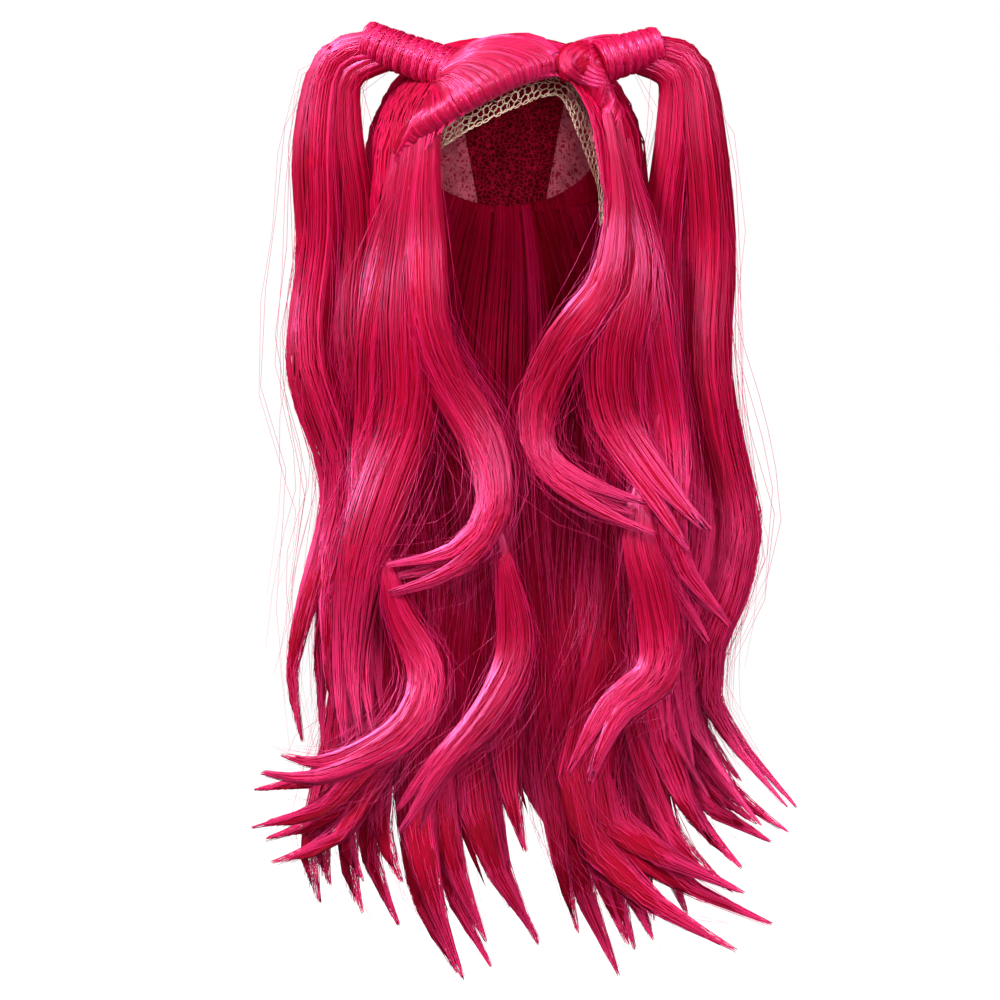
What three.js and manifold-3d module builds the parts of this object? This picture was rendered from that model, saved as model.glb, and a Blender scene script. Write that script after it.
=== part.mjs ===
// A long pink costume wig with two high bunches. Its cap is hollow, open at the face and below.
// Millimetres, +Z up and -Y to the front. Left and right are as seen from the front.
// The origin is the inside of the crown, where the cap rests.
import * as THREE from "three";
import { mergeVertices } from "three/addons/utils/BufferGeometryUtils.js";
import Module from "manifold-3d";

const wasm = await Module();
wasm.setup();

const GAP = 0.35; // clearance between neighbouring pieces
const FAR = 400; // past every edge of the cap and crown

// Inside of the cap: a dome a little squarer than an ellipse, with a straight skirt below its widest line.
const FORM = { halfWidth: 77, halfDepth: 97, height: 100, squareness: 2.4, skirt: 0.36 };
const GRID = { sectors: 36, rings: 8 }; // facets round and down every wall that follows the form
const CAP = { wall: 1.5 };

// Hair over the cap: how far its outer face stands off the form at the top and round the bottom.
const CROWN = { top: 12, side: 30, front: 13, back: 25, ridge: 3 };

// Edge of the face opening as seen from the front, from the left ear to the right one,
// with the width of the lace band there.
const FACE_EDGE = [
  { x: -72, z: -112, lace: 4 },
  { x: -67, z: -92, lace: 6 },
  { x: -52, z: -73, lace: 9 },
  { x: -28, z: -57, lace: 13 },
  { x: 9, z: -39, lace: 16 },
  { x: 28, z: -31, lace: 16 },
  { x: 40, z: -30, lace: 14 },
  { x: 47, z: -40, lace: 13 },
  { x: 54, z: -58, lace: 12 },
  { x: 62, z: -78, lace: 9 },
  { x: 69, z: -98, lace: 5 },
  { x: 71, z: -126, lace: 3 },
];
const FACE = { back: -8, hairShare: 0.55, curveSteps: 3 };

// Lower edge of the cap as seen from the side: ear tabs in front, ear notch, nape at the back.
const CAP_RIM = [
  { y: -FAR, z: -126 },
  { y: -12, z: -126 },
  { y: 2, z: -74 },
  { y: 24, z: -64 },
  { y: 98, z: -110 },
  { y: FAR, z: -300 },
];

// Lower edge of the hair over the cap, seen from the side: level in front, falling to the back.
const HAIR_EDGE = { frontZ: -92, bendY: -20, slope: 0.19 };
const HAIR_RIM = [
  { y: -FAR, z: hairRimZ(-FAR) },
  { y: HAIR_EDGE.bendY, z: HAIR_EDGE.frontZ },
  { y: FAR, z: hairRimZ(FAR) },
];

// Net strip of the cap as seen from the front: its middle, and half its width at two heights.
const STRIP = { middle: 5, topZ: 30, topHalf: 51, napeZ: -130, napeHalf: 21 };

// Lace band: cells along and across it, half the share of a cell that its diamond gap takes,
// and the stand-offs of its two faces from the form.
const LACE = { columns: 26, rows: 2, gap: 0.36, inner: -0.4, outer: 0.6 };

// Fringe swept left and rolled under: middle line seen from the front, and radius.
const ROLL = [
  { x: 37, z: -5, radius: 10 },
  { x: 9, z: -12, radius: 11 },
  { x: -16, z: -24, radius: 11 },
  { x: -46, z: -42, radius: 10 },
  { x: -69, z: -58, radius: 9 },
  { x: -80, z: -77, radius: 7 },
];
const SWEEP = [
  { x: -44, z: -16, radius: 9 },
  { x: -22, z: -4, radius: 14 },
  { x: 2, z: 1, radius: 15 },
  { x: 22, z: 1, radius: 15 },
  { x: 36, z: -8, radius: 11 },
];
// Hair right of the parting, knotted and then twisted down the hairline.
// The knot stands forward of the crown.
const TWIST = [
  { x: 43, z: -12, radius: 9, forward: 8 },
  { x: 56, z: -5, radius: 17, forward: 16 },
  { x: 68, z: -22, radius: 13, forward: 8 },
  { x: 76, z: -38, radius: 9 },
  { x: 79, z: -46, radius: 9 },
  { x: 82, z: -58, radius: 6 },
];
// Rope-like surface of the rolled pieces.
const ROPE = { sides: 10, step: 14, lobes: 4, depth: 0.08, turnEvery: 60, proud: 0.35 };

// Bunch bases: round bars wound with hair, thick rings one after another.
const WRAPS = {
  left: { from: [-38, -60, -11], to: [-104, -34, 12], radii: [16, 15, 15], rings: 5 },
  right: { from: [69, -54, -5], to: [115, -34, 9], radii: [16, 15, 14], rings: 4 },
};
const WINDING = { sides: 10, step: 6, depth: 0.05 };

// Hair from the back and sides of the cap: a curved band below the crown, with locks fused to it.
// The band is given by its half-width, its reach to the back and how far round it turns, in degrees.
const BAND = { half: 92, back: 110, sideTurn: 84, lowZ: -150, wall: 12, facets: 8 };

// A lock in a table: turn places its root round the band, in degrees from the middle of the back,
// and bends lead to its tip.
const BACK_LOCKS = [
  { turn: -82, bends: [[-100, 30, -190], [-98, 32, -320], [-86, 32, -420], [-94, 28, -500], [-140, 22, -561]],
    tip: [-196, 16, -569], wide: 44, deep: 22 },
  { turn: -70, bends: [[-92, 48, -210], [-80, 50, -330], [-80, 48, -440], [-98, 42, -530], [-134, 36, -583]],
    tip: [-182, 30, -597], wide: 46, deep: 24 },
  { turn: -58, bends: [[-84, 66, -220], [-88, 66, -340], [-104, 60, -450], [-126, 54, -550],
    [-134, 48, -601]], tip: [-109, 44, -646], wide: 46, deep: 24 },
  { turn: -46, bends: [[-68, 84, -220], [-72, 80, -340], [-90, 72, -450], [-104, 64, -550], [-104, 58, -605]],
    tip: [-76, 54, -658], wide: 48, deep: 26 },
  { turn: -33, bends: [[-50, 98, -220], [-54, 94, -340], [-62, 86, -460], [-62, 76, -560], [-50, 70, -625]],
    tip: [-12, 64, -698], wide: 52, deep: 28 },
  { turn: -20, bends: [[-34, 108, -230], [-32, 104, -350], [-38, 94, -470], [-32, 84, -570], [-16, 78, -620]],
    tip: [14, 72, -675], wide: 54, deep: 28 },
  { turn: -7, bends: [[-14, 112, -240], [-6, 106, -360], [-4, 96, -470], [10, 86, -545]],
    tip: [36, 78, -618], wide: 60, deep: 26 },
  { turn: 8, bends: [[18, 112, -240], [26, 106, -360], [36, 96, -470], [46, 84, -570], [58, 76, -625]],
    tip: [79, 70, -678], wide: 48, deep: 26 },
  { turn: 20, bends: [[36, 108, -230], [48, 102, -350], [56, 92, -470], [64, 80, -570], [84, 72, -635]],
    tip: [118, 66, -695], wide: 50, deep: 28 },
  { turn: 33, bends: [[56, 98, -220], [66, 92, -340], [78, 84, -460], [94, 74, -560], [106, 68, -620]],
    tip: [126, 62, -680], wide: 46, deep: 26 },
  { turn: 46, bends: [[78, 82, -225], [92, 74, -345], [86, 64, -440], [64, 54, -515], [68, 48, -565],
    [110, 42, -612]], tip: [202, 36, -654], wide: 50, deep: 24 },
  { turn: 58, bends: [[94, 66, -215], [106, 60, -330], [108, 54, -440], [118, 46, -530], [146, 40, -582]],
    tip: [191, 34, -612], wide: 52, deep: 24 },
  { turn: 72, bends: [[104, 46, -200], [116, 44, -320], [120, 40, -430], [132, 36, -515], [160, 32, -560]],
    tip: [208, 28, -598], wide: 44, deep: 22 },
];

// Locks of the bunches: each starts at the end of its wrap, arches over and falls.
const BUNCH_LOCKS = {
  left: [
    { root: [-103, -36, 13], bends: [[-126, -34, -2], [-140, -30, -60], [-140, -24, -140], [-146, -18, -230],
      [-122, -12, -315], [-136, -8, -400], [-144, -6, -470]], tip: [-131, -4, -524], wide: 38, deep: 28 },
    { root: [-103, -33, 8], bends: [[-121, -24, -8], [-130, -16, -60], [-130, -10, -140], [-134, -6, -225],
      [-110, -2, -315], [-124, 0, -410], [-128, 2, -490]], tip: [-112, 4, -548], wide: 34, deep: 28 },
    { root: [-103, -36, 6], bends: [[-117, -34, -14], [-121, -28, -50], [-113, -20, -120], [-114, -12, -220],
      [-98, -6, -320], [-106, -2, -420]], tip: [-100, 2, -530], wide: 30, deep: 26 },
  ],
  right: [
    { root: [114, -36, 10], bends: [[136, -34, -4], [149, -30, -60], [154, -24, -140], [154, -18, -230],
      [162, -14, -294], [175, -10, -352], [168, -7, -402], [152, -4, -442], [150, -2, -490]],
      tip: [214, 2, -568], wide: 36, deep: 26 },
    { root: [114, -33, 6], bends: [[131, -24, -10], [140, -16, -60], [142, -10, -140], [140, -6, -230],
      [152, -2, -335], [138, 2, -435], [140, 4, -500]], tip: [196, 6, -582], wide: 34, deep: 28 },
    { root: [114, -36, 4], bends: [[125, -34, -14], [127, -28, -50], [119, -20, -120], [121, -12, -230],
      [136, -6, -340], [120, -2, -440]], tip: [138, 4, -545], wide: 30, deep: 26 },
  ],
};

// Locks in front of the ears.
const FRONT_LOCKS = {
  left: [
    { root: [-58, -85, -52], bends: [[-60, -82, -120], [-58, -76, -196], [-44, -72, -236], [-15, -70, -292],
      [-10, -68, -342], [-36, -66, -376]], tip: [-105, -62, -392], wide: 34, deep: 17 },
    { root: [-66, -80, -56], bends: [[-70, -76, -130], [-72, -70, -200], [-72, -66, -260], [-90, -62, -325],
      [-110, -56, -390], [-114, -50, -450]], tip: [-104, -44, -520], wide: 44, deep: 18 },
    { root: [-77, -68, -78], bends: [[-84, -64, -130], [-94, -58, -200], [-96, -52, -260], [-104, -48, -330]],
      tip: [-136, -44, -420], wide: 36, deep: 16 },
    { root: [-100, -58, -335], bends: [[-80, -60, -410], [-59, -60, -462], [-72, -58, -499],
      [-112, -54, -527], [-145, -50, -535]], tip: [-182, -46, -526], wide: 32, deep: 15 },
    { root: [-12, -66, -330], bends: [[4, -62, -395], [8, -58, -448], [-14, -54, -493], [-50, -50, -535]],
      tip: [-78, -46, -582], wide: 30, deep: 15 },
  ],
  right: [
    { root: [79, -62, -50], bends: [[85, -72, -110], [75, -74, -170], [48, -74, -208], [25, -72, -262],
      [28, -70, -300], [58, -68, -326]], tip: [116, -64, -349], wide: 32, deep: 15 },
    { root: [84, -58, -54], bends: [[90, -64, -120], [92, -66, -160], [80, -66, -225], [84, -64, -272],
      [112, -60, -317]], tip: [156, -54, -366], wide: 44, deep: 17 },
    { root: [92, -50, -70], bends: [[102, -52, -140], [110, -50, -230], [122, -48, -310], [128, -44, -380]],
      tip: [164, -42, -433], wide: 42, deep: 16 },
    { root: [116, -52, -270], bends: [[100, -54, -350], [112, -54, -405], [114, -54, -460], [84, -52, -488]],
      tip: [52, -48, -552], wide: 36, deep: 15 },
  ],
};

// How the locks of each kind are made: facets round them, length of a step along them, share of the full
// width at the root, and where along them they are full and begin to thin.
const LOCK_TIP = 0.08;
const BACK_SHAPE = { sides: 6, step: 86, rootShare: 0.8, fullAt: 0.2, thinFrom: 0.8 };
const BUNCH_SHAPE = { sides: 6, step: 46, rootShare: 0.75, fullAt: 0.16, thinFrom: 0.7 };
const FRONT_SHAPE = { sides: 6, step: 46, rootShare: 0.5, fullAt: 0.3, thinFrom: 0.55 };

// One colour and finish for each piece.
const LOOKS = {
  net: { color: 0x5e0512, roughness: 0.8, metalness: 0 },
  sideLace: { color: 0xcaa0a4, roughness: 0.85, metalness: 0 },
  frontLace: { color: 0xe8d6b8, roughness: 0.85, metalness: 0 },
  hair: { color: 0xd3145c, roughness: 0.4, metalness: 0 },
};

function hairRimZ(y) {
  return HAIR_EDGE.frontZ - HAIR_EDGE.slope * Math.max(y - HAIR_EDGE.bendY, 0);
}

// Moves every vertex of a geometry to the place a function gives it.
function bend(geometry, place) {
  const corners = geometry.getAttribute("position");
  const corner = new THREE.Vector3();
  for (let i = 0; i < corners.count; i += 1) {
    corner.fromBufferAttribute(corners, i);
    const to = place(corner);
    corners.setXYZ(i, to.x, to.y, to.z);
  }
  return geometry;
}

// A closed solid from a geometry, its faces turned outward.
function solid(geometry) {
  geometry.deleteAttribute("normal");
  geometry.deleteAttribute("uv");
  const welded = mergeVertices(geometry, 1e-3);
  const index = welded.index.array;
  const triangles = [];
  for (let i = 0; i < index.length; i += 3) {
    const [a, b, c] = [index[i], index[i + 1], index[i + 2]];
    if (a !== b && b !== c && c !== a) {
      triangles.push(a, b, c);
    }
  }
  const places = welded.getAttribute("position").array;
  const made = fromTriangles(places, triangles);
  return made.volume() < 0 ? fromTriangles(places, triangles.reverse()) : made;
}

function fromTriangles(places, triangles) {
  const mesh = new wasm.Mesh({
    numProp: 3,
    vertProperties: Float32Array.from(places),
    triVerts: Uint32Array.from(triangles),
  });
  return new wasm.Manifold(mesh);
}

function joined(solids) {
  return solids.reduce((whole, piece) => whole.add(piece));
}

// What is left of a solid once others are cut from it, without the crumbs.
function clearOf(piece, others) {
  const left = others.reduce((rest, other) => rest.subtract(other), piece).decompose();
  return left.reduce((best, body) => (body.volume() > best.volume() ? body : best));
}

function smooth(share) {
  const held = Math.min(Math.max(share, 0), 1);
  return held * held * (3 - 2 * held);
}

// A value at a share of the way along a row of evenly spaced values.
function along(values, share) {
  const at = Math.min(Math.max(share, 0), 1) * (values.length - 1);
  const before = Math.min(Math.floor(at), values.length - 2);
  return values[before] + (values[before + 1] - values[before]) * (at - before);
}

// A point that stands off the form. share runs from the crown (0) to the widest line (1)
// and on down the skirt.
function formPoint(angle, share, off) {
  const lean = Math.min(share, 1) * Math.PI / 2;
  const power = 2 / FORM.squareness;
  const reach = Math.sin(lean) ** power;
  const rise = Math.max(Math.cos(lean), 0) ** power;
  const skirt = Math.max(share - 1, 0) * FORM.height;
  return new THREE.Vector3(
    (FORM.halfWidth + off) * reach * Math.cos(angle),
    (FORM.halfDepth + off) * reach * Math.sin(angle),
    (FORM.height + off) * rise - FORM.height - skirt,
  );
}

// How far the crown hair stands off the form, without its ridges.
function crownOff(angle, share) {
  const facing = Math.sin(angle);
  const low = CROWN.side + ((facing < 0 ? CROWN.front : CROWN.back) - CROWN.side) * Math.abs(facing);
  return CROWN.top + (low - CROWN.top) * Math.min(share, 1);
}

function crownRidged(angle, share) {
  const ridge = CROWN.ridge * Math.cos(angle * GRID.sectors / 2) / 2;
  return crownOff(angle, share) + ridge * smooth(share * 2);
}

// The foremost y of a surface round the form where it is seen at x, z from the front.
function frontOf(x, z, off) {
  const height = Math.max(z + FORM.height, 0);
  const rise = Math.min(height / (FORM.height + CROWN.top), 1);
  const share = Math.acos(rise ** (FORM.squareness / 2)) / (Math.PI / 2);
  let outside = -FORM.halfDepth - CROWN.side;
  let inside = 0;
  while (inside - outside > 1e-3) {
    const y = (inside + outside) / 2;
    const out = off(Math.atan2(y / FORM.halfDepth, x / FORM.halfWidth), share);
    const flat = Math.hypot(x / (FORM.halfWidth + out), y / (FORM.halfDepth + out));
    const up = height / (FORM.height + out);
    if (flat ** FORM.squareness + up ** FORM.squareness <= 1) {
      inside = y;
    } else {
      outside = y;
    }
  }
  return inside;
}

// A wall round the form between two stand-offs, open below.
function wallRound(inner, outer) {
  const { sectors, rings } = GRID;
  const profile = [];
  const reach = 1 + FORM.skirt;
  for (let ring = 0; ring <= rings; ring += 1) {
    profile.push(new THREE.Vector2(ring / rings * reach, 1));
  }
  for (let ring = rings; ring >= 0; ring -= 1) {
    profile.push(new THREE.Vector2(ring / rings * reach, 0));
  }
  const turned = new THREE.LatheGeometry(profile, sectors);
  return solid(bend(turned, (corner) => {
    const share = Math.hypot(corner.x, corner.z);
    const angle = Math.atan2(corner.z, corner.x);
    return formPoint(angle, share, corner.y > 0.5 ? outer(angle, share) : inner(angle, share));
  }));
}

// The whole space inside a stand-off from the form, down to the end of the skirt.
function spaceWithin(outer) {
  const { sectors, rings } = GRID;
  const profile = [];
  const reach = 1 + FORM.skirt;
  for (let ring = 0; ring <= rings; ring += 1) {
    profile.push(new THREE.Vector2(ring / rings * reach, 0));
  }
  profile.push(new THREE.Vector2(0, 1));
  const turned = new THREE.LatheGeometry(profile, sectors);
  return solid(bend(turned, (corner) => {
    if (corner.y > 0.5) {
      return new THREE.Vector3(0, 0, -FORM.height * reach);
    }
    const share = Math.hypot(corner.x, corner.z);
    const angle = Math.atan2(corner.z, corner.x);
    return formPoint(angle, share, outer(angle, share));
  }));
}

// A block with a given outline from the front, between two depths.
function frontBlock(shape, fromY, toY) {
  const block = new THREE.ExtrudeGeometry(shape, {
    depth: toY - fromY, bevelEnabled: false, curveSegments: FACE.curveSteps,
  });
  return solid(bend(block, (corner) => new THREE.Vector3(corner.x, toY - corner.z, corner.y)));
}

// A block right across the wig, below an edge given from the side.
function blockBelow(edge, lower) {
  const shape = new THREE.Shape();
  shape.moveTo(edge[0].y, -2 * FAR);
  edge.forEach((row) => shape.lineTo(row.y, row.z - lower));
  shape.lineTo(edge[edge.length - 1].y, -2 * FAR);
  const block = new THREE.ExtrudeGeometry(shape, { depth: 2 * FAR, bevelEnabled: false });
  return solid(bend(block, (corner) => new THREE.Vector3(corner.z - FAR, corner.x, corner.y)));
}

// Points of the face edge moved outward by a share of the lace's width and by a clearance.
function faceLine(share, extra) {
  return FACE_EDGE.map((row, i) => {
    const before = FACE_EDGE[Math.max(i - 1, 0)];
    const after = FACE_EDGE[Math.min(i + 1, FACE_EDGE.length - 1)];
    const run = new THREE.Vector2(after.x - before.x, after.z - before.z).normalize();
    const out = row.lace * share + extra;
    return new THREE.Vector2(row.x - run.y * out, row.z + run.x * out);
  });
}

function faceBlock(share, extra) {
  const line = faceLine(share, extra);
  const last = line[line.length - 1];
  const shape = new THREE.Shape();
  shape.moveTo(line[0].x, -FAR);
  shape.lineTo(line[0].x, line[0].y);
  shape.splineThru(line.slice(1));
  shape.lineTo(last.x, -FAR);
  return frontBlock(shape, -FAR, FACE.back + extra);
}

function stripBlock(extra) {
  const shape = new THREE.Shape();
  shape.moveTo(STRIP.middle - STRIP.topHalf - extra, STRIP.topZ);
  shape.lineTo(STRIP.middle - STRIP.napeHalf - extra, STRIP.napeZ);
  shape.lineTo(STRIP.middle + STRIP.napeHalf + extra, STRIP.napeZ);
  shape.lineTo(STRIP.middle + STRIP.topHalf + extra, STRIP.topZ);
  return frontBlock(shape, -FAR, FAR);
}

// Everything on one side of the middle of the net strip.
function sideBlock(side) {
  const box = new THREE.BoxGeometry(FAR, 2 * FAR, 2 * FAR);
  box.translate(STRIP.middle + side * FAR / 2, 0, 0);
  return solid(box);
}

// The lace band: flat cells, each with a diamond gap, laid on the form along the face edge and joined.
function laceBand() {
  const cells = [];
  for (let row = 0; row < LACE.rows; row += 1) {
    for (let column = 0; column < LACE.columns; column += 1) {
      cells.push(laceCell(column, row));
    }
  }
  return joined(cells);
}

function laceCell(column, row) {
  const cell = new THREE.Shape();
  [[0, 0], [1, 0], [1, 1], [0, 1]].forEach(([u, v]) => cell.lineTo(u, v));
  const gap = new THREE.Path();
  gap.moveTo(0.5 - LACE.gap, 0.5);
  [[0.5, 0.5 + LACE.gap], [0.5 + LACE.gap, 0.5], [0.5, 0.5 - LACE.gap]].forEach(([u, v]) => gap.lineTo(u, v));
  cell.holes.push(gap);
  const block = new THREE.ExtrudeGeometry(cell, { depth: 1, bevelEnabled: false });
  return solid(bend(block, (corner) => {
    const line = new THREE.SplineCurve(faceLine((row + corner.y) / LACE.rows, 0));
    const seen = line.getPointAt((column + corner.x) / LACE.columns);
    const off = corner.z > 0.5 ? LACE.outer : LACE.inner;
    return new THREE.Vector3(seen.x, frontOf(seen.x, seen.y, () => off), seen.y);
  }));
}

// A closed bar along a smooth route. half gives its half-width seen from the front and half-depth at a share
// of the way and an angle round it; grow thickens and lengthens it all round.
function bar(route, { sides, step }, half, grow) {
  const places = route.map((place) => new THREE.Vector3(...place));
  const line = new THREE.CatmullRomCurve3(places, false, "centripetal");
  const rod = new THREE.CylinderGeometry(1, 1, 1, sides, Math.ceil(line.getLength() / step));
  const back = new THREE.Vector3(0, 1, 0);
  return solid(bend(rod, (corner) => {
    const share = Math.min(Math.max(0.5 - corner.y, 0), 1);
    const run = line.getTangentAt(share);
    const across = new THREE.Vector3().crossVectors(run, back).normalize();
    const behind = new THREE.Vector3().crossVectors(across, run);
    const size = half(share, Math.atan2(corner.z, corner.x));
    const end = share === 0 ? -grow : share === 1 ? grow : 0;
    return line.getPointAt(share)
      .addScaledVector(run, end)
      .addScaledVector(across, corner.x * (size.wide + grow))
      .addScaledVector(behind, corner.z * (size.deep + grow));
  }));
}

// A lock: narrower at its root, full along most of its length, thin at its tip.
function lock({ root, bends, tip, wide, deep }, shape, grow) {
  const half = (share) => {
    const rooted = shape.rootShare + (1 - shape.rootShare) * smooth(share / shape.fullAt);
    const thinned = 1 - (1 - LOCK_TIP) * smooth((share - shape.thinFrom) / (1 - shape.thinFrom));
    return { wide: wide / 2 * rooted * thinned, deep: deep / 2 * rooted * thinned };
  };
  return bar([root, ...bends, tip], shape, half, grow);
}

function locks(rows, shape, grow) {
  return joined(rows.map((row) => lock(row, shape, grow)));
}

// A rolled piece that lies on the front of the crown, its surface roped.
function rope(rows, grow) {
  const route = rows.map(({ x, z, radius, forward = 0 }) => {
    return [x, frontOf(x, z, crownOff) - radius * ROPE.proud - forward, z];
  });
  const radii = rows.map((row) => row.radius);
  const length = new THREE.CatmullRomCurve3(route.map((place) => new THREE.Vector3(...place))).getLength();
  const half = (share, angle) => {
    const twist = share * length / ROPE.turnEvery;
    const lobe = Math.cos(ROPE.lobes * angle + twist * 2 * Math.PI);
    const radius = along(radii, share) * (1 + ROPE.depth * lobe);
    return { wide: radius, deep: radius };
  };
  return bar(route, ROPE, half, grow);
}

function wrap({ from, to, radii, rings }, grow) {
  const half = (share) => {
    const radius = along(radii, share) * (1 - WINDING.depth * Math.cos(share * rings * 2 * Math.PI));
    return { wide: radius, deep: radius };
  };
  return bar([from, to], WINDING, half, grow);
}

// Where a lock of the back hair starts, round the top of the band.
function backRoot(turn) {
  const angle = THREE.MathUtils.degToRad(turn);
  const y = BAND.back * Math.cos(angle);
  return [BAND.half * Math.sin(angle), y, hairRimZ(y) - GAP];
}

function backHair(grow) {
  const sheet = new THREE.BoxGeometry(1, 1, 1, BAND.facets, 1, 1);
  const band = solid(bend(sheet, (corner) => {
    const angle = THREE.MathUtils.degToRad(BAND.sideTurn) * 2 * corner.x;
    const off = corner.z * (BAND.wall + 2 * grow);
    const y = (BAND.back + off) * Math.cos(angle);
    const z = corner.y > 0 ? hairRimZ(y) - GAP : BAND.lowZ;
    return new THREE.Vector3((BAND.half + off) * Math.sin(angle), y, z);
  }));
  const rooted = BACK_LOCKS.map((row) => ({ ...row, root: backRoot(row.turn) }));
  return band.add(locks(rooted, BACK_SHAPE, grow));
}

// Cap: one wall cut into its net strip, its two lace sides and the lace band round the face.
const capWall = wallRound(() => 0, () => CAP.wall).subtract(blockBelow(CAP_RIM, 0));
const capPanels = capWall.subtract(faceBlock(1, 2 * GAP));
const capSides = capPanels.subtract(stripBlock(GAP));

// Space that the cap and the crown hair take, for cutting the other hair clear of them.
const capSpace = spaceWithin(() => CAP.wall + GAP);
const crownSpace = spaceWithin((angle, share) => crownRidged(angle, share) + GAP)
  .subtract(blockBelow(HAIR_RIM, GAP));
const taken = [capSpace, crownSpace];

const crownHair = wallRound(() => CAP.wall + GAP, crownRidged)
  .subtract(blockBelow(HAIR_RIM, 0))
  .subtract(faceBlock(FACE.hairShare, 0));

const rollWith = (grow) => rope(ROLL, grow).add(rope(SWEEP, grow));
const wrapsGrown = [wrap(WRAPS.left, GAP), wrap(WRAPS.right, GAP)];
const twistGrown = rope(TWIST, GAP);
const rollGrown = rollWith(GAP);
const backGrown = backHair(GAP);
const bunchesGrown = locks([...BUNCH_LOCKS.left, ...BUNCH_LOCKS.right], BUNCH_SHAPE, GAP);

const bunch = (rows, wrapGrown) => clearOf(locks(rows, BUNCH_SHAPE, 0), [...taken, wrapGrown, backGrown]);
const frontLocks = (rows, above) => {
  return clearOf(locks(rows, FRONT_SHAPE, 0), [...taken, above, bunchesGrown, backGrown]);
};

const pieces = [
  ["cap_back_panel", LOOKS.net, clearOf(capPanels.intersect(stripBlock(0)), [])],
  ["cap_side_panel_left", LOOKS.sideLace, clearOf(capSides.intersect(sideBlock(-1)), [])],
  ["cap_side_panel_right", LOOKS.sideLace, clearOf(capSides.intersect(sideBlock(1)), [])],
  ["lace_front", LOOKS.frontLace, laceBand()],
  ["crown_hair", LOOKS.hair, clearOf(crownHair, [])],
  ["front_roll", LOOKS.hair, clearOf(rollWith(0), taken)],
  ["right_twist", LOOKS.hair, clearOf(rope(TWIST, 0), [...taken, rollGrown])],
  ["wrap_left", LOOKS.hair, clearOf(wrap(WRAPS.left, 0), [...taken, rollGrown])],
  ["wrap_right", LOOKS.hair, clearOf(wrap(WRAPS.right, 0), [...taken, twistGrown])],
  ["bunch_left", LOOKS.hair, bunch(BUNCH_LOCKS.left, wrapsGrown[0])],
  ["bunch_right", LOOKS.hair, bunch(BUNCH_LOCKS.right, wrapsGrown[1])],
  ["back_hair", LOOKS.hair, clearOf(backHair(0), taken)],
  ["front_locks_left", LOOKS.hair, frontLocks(FRONT_LOCKS.left, rollGrown)],
  ["front_locks_right", LOOKS.hair, frontLocks(FRONT_LOCKS.right, twistGrown)],
];

function meshOf(name, look, made) {
  const { vertProperties, triVerts } = made.getMesh();
  const geometry = new THREE.BufferGeometry();
  geometry.setAttribute("position", new THREE.BufferAttribute(vertProperties, 3));
  geometry.setIndex(new THREE.BufferAttribute(triVerts, 1));
  geometry.computeVertexNormals();
  const mesh = new THREE.Mesh(geometry, new THREE.MeshStandardMaterial({ ...look, flatShading: true }));
  mesh.name = name;
  return mesh;
}

const wig = new THREE.Group();
wig.name = "wig";
pieces.forEach(([name, look, made]) => wig.add(meshOf(name, look, made)));

export default wig;
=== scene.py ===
import math
import bpy
import bmesh
import numpy as np
from mathutils import Matrix, Vector


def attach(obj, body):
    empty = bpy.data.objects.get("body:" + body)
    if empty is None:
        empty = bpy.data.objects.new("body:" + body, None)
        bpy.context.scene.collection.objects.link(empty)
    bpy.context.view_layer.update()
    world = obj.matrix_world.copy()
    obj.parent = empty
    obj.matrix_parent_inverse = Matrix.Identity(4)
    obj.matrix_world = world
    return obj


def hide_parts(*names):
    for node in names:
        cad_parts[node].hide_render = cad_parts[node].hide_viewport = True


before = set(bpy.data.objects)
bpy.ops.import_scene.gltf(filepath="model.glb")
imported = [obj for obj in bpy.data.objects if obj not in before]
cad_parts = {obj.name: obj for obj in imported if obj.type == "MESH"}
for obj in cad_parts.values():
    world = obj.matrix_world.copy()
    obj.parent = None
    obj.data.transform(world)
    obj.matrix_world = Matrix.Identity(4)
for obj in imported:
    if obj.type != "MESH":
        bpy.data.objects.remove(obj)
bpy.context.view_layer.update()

# A long pink costume wig with two high bunches. Tables are in millimetres, front view, -Y to the front.
mm = 0.001
rng = np.random.default_rng(11)
scene = bpy.context.scene
for spare in ("Cube", "Light", "Camera"):
    if spare in bpy.data.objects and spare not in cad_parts:
        bpy.data.objects.remove(bpy.data.objects[spare])

gap = 0.35
far = 400
form = dict(halfWidth=77, halfDepth=97, height=100, squareness=2.4, reach=1.36)
crown = dict(top=12, side=30, front=13, back=25, ridges=36)
capWall = 1.5


def smoothStep(x):
    x = np.clip(x, 0, 1)
    return x * x * (3 - 2 * x)


def unit(vectors):
    return vectors / (np.linalg.norm(vectors, axis=-1, keepdims=True) + 1e-9)


# smooth line through points, evenly spaced along its length
def smoothLine(points, count):
    p = np.array(points, float)
    p = np.vstack([2 * p[0] - p[1], p, 2 * p[-1] - p[-2]])
    t = np.linspace(0, 1, 24, endpoint=False)[:, None]
    parts = []
    for a, b, c, d in zip(p, p[1:], p[2:], p[3:]):
        ab, bc, cd = (max(np.linalg.norm(to - at), 1e-6) ** 0.5 for at, to in ((a, b), (b, c), (c, d)))
        lead = ((b - a) / ab - (c - a) / (ab + bc) + (c - b) / bc) * bc
        tail = ((c - b) / bc - (d - b) / (bc + cd) + (d - c) / cd) * bc
        parts.append(b + lead * t + (3 * (c - b) - 2 * lead - tail) * t ** 2 + (2 * (b - c) + lead + tail) * t ** 3)
    line = np.vstack(parts + [p[-2:-1]])
    length = np.concatenate([[0], np.cumsum(np.linalg.norm(np.diff(line, axis=0), axis=1))])
    at = np.linspace(0, length[-1], count)
    return np.stack([np.interp(at, length, line[:, k]) for k in range(line.shape[1])], 1)


# directions along a line, across it as seen from the front, and behind it
def lineFrame(line):
    run = unit(np.gradient(line, axis=0))
    across = unit(np.cross(run, (0.0, 1.0, 0.0)))
    return run, across, np.cross(across, run)


def lineLength(line):
    return np.linalg.norm(np.diff(line, axis=0), axis=1).sum()


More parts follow.
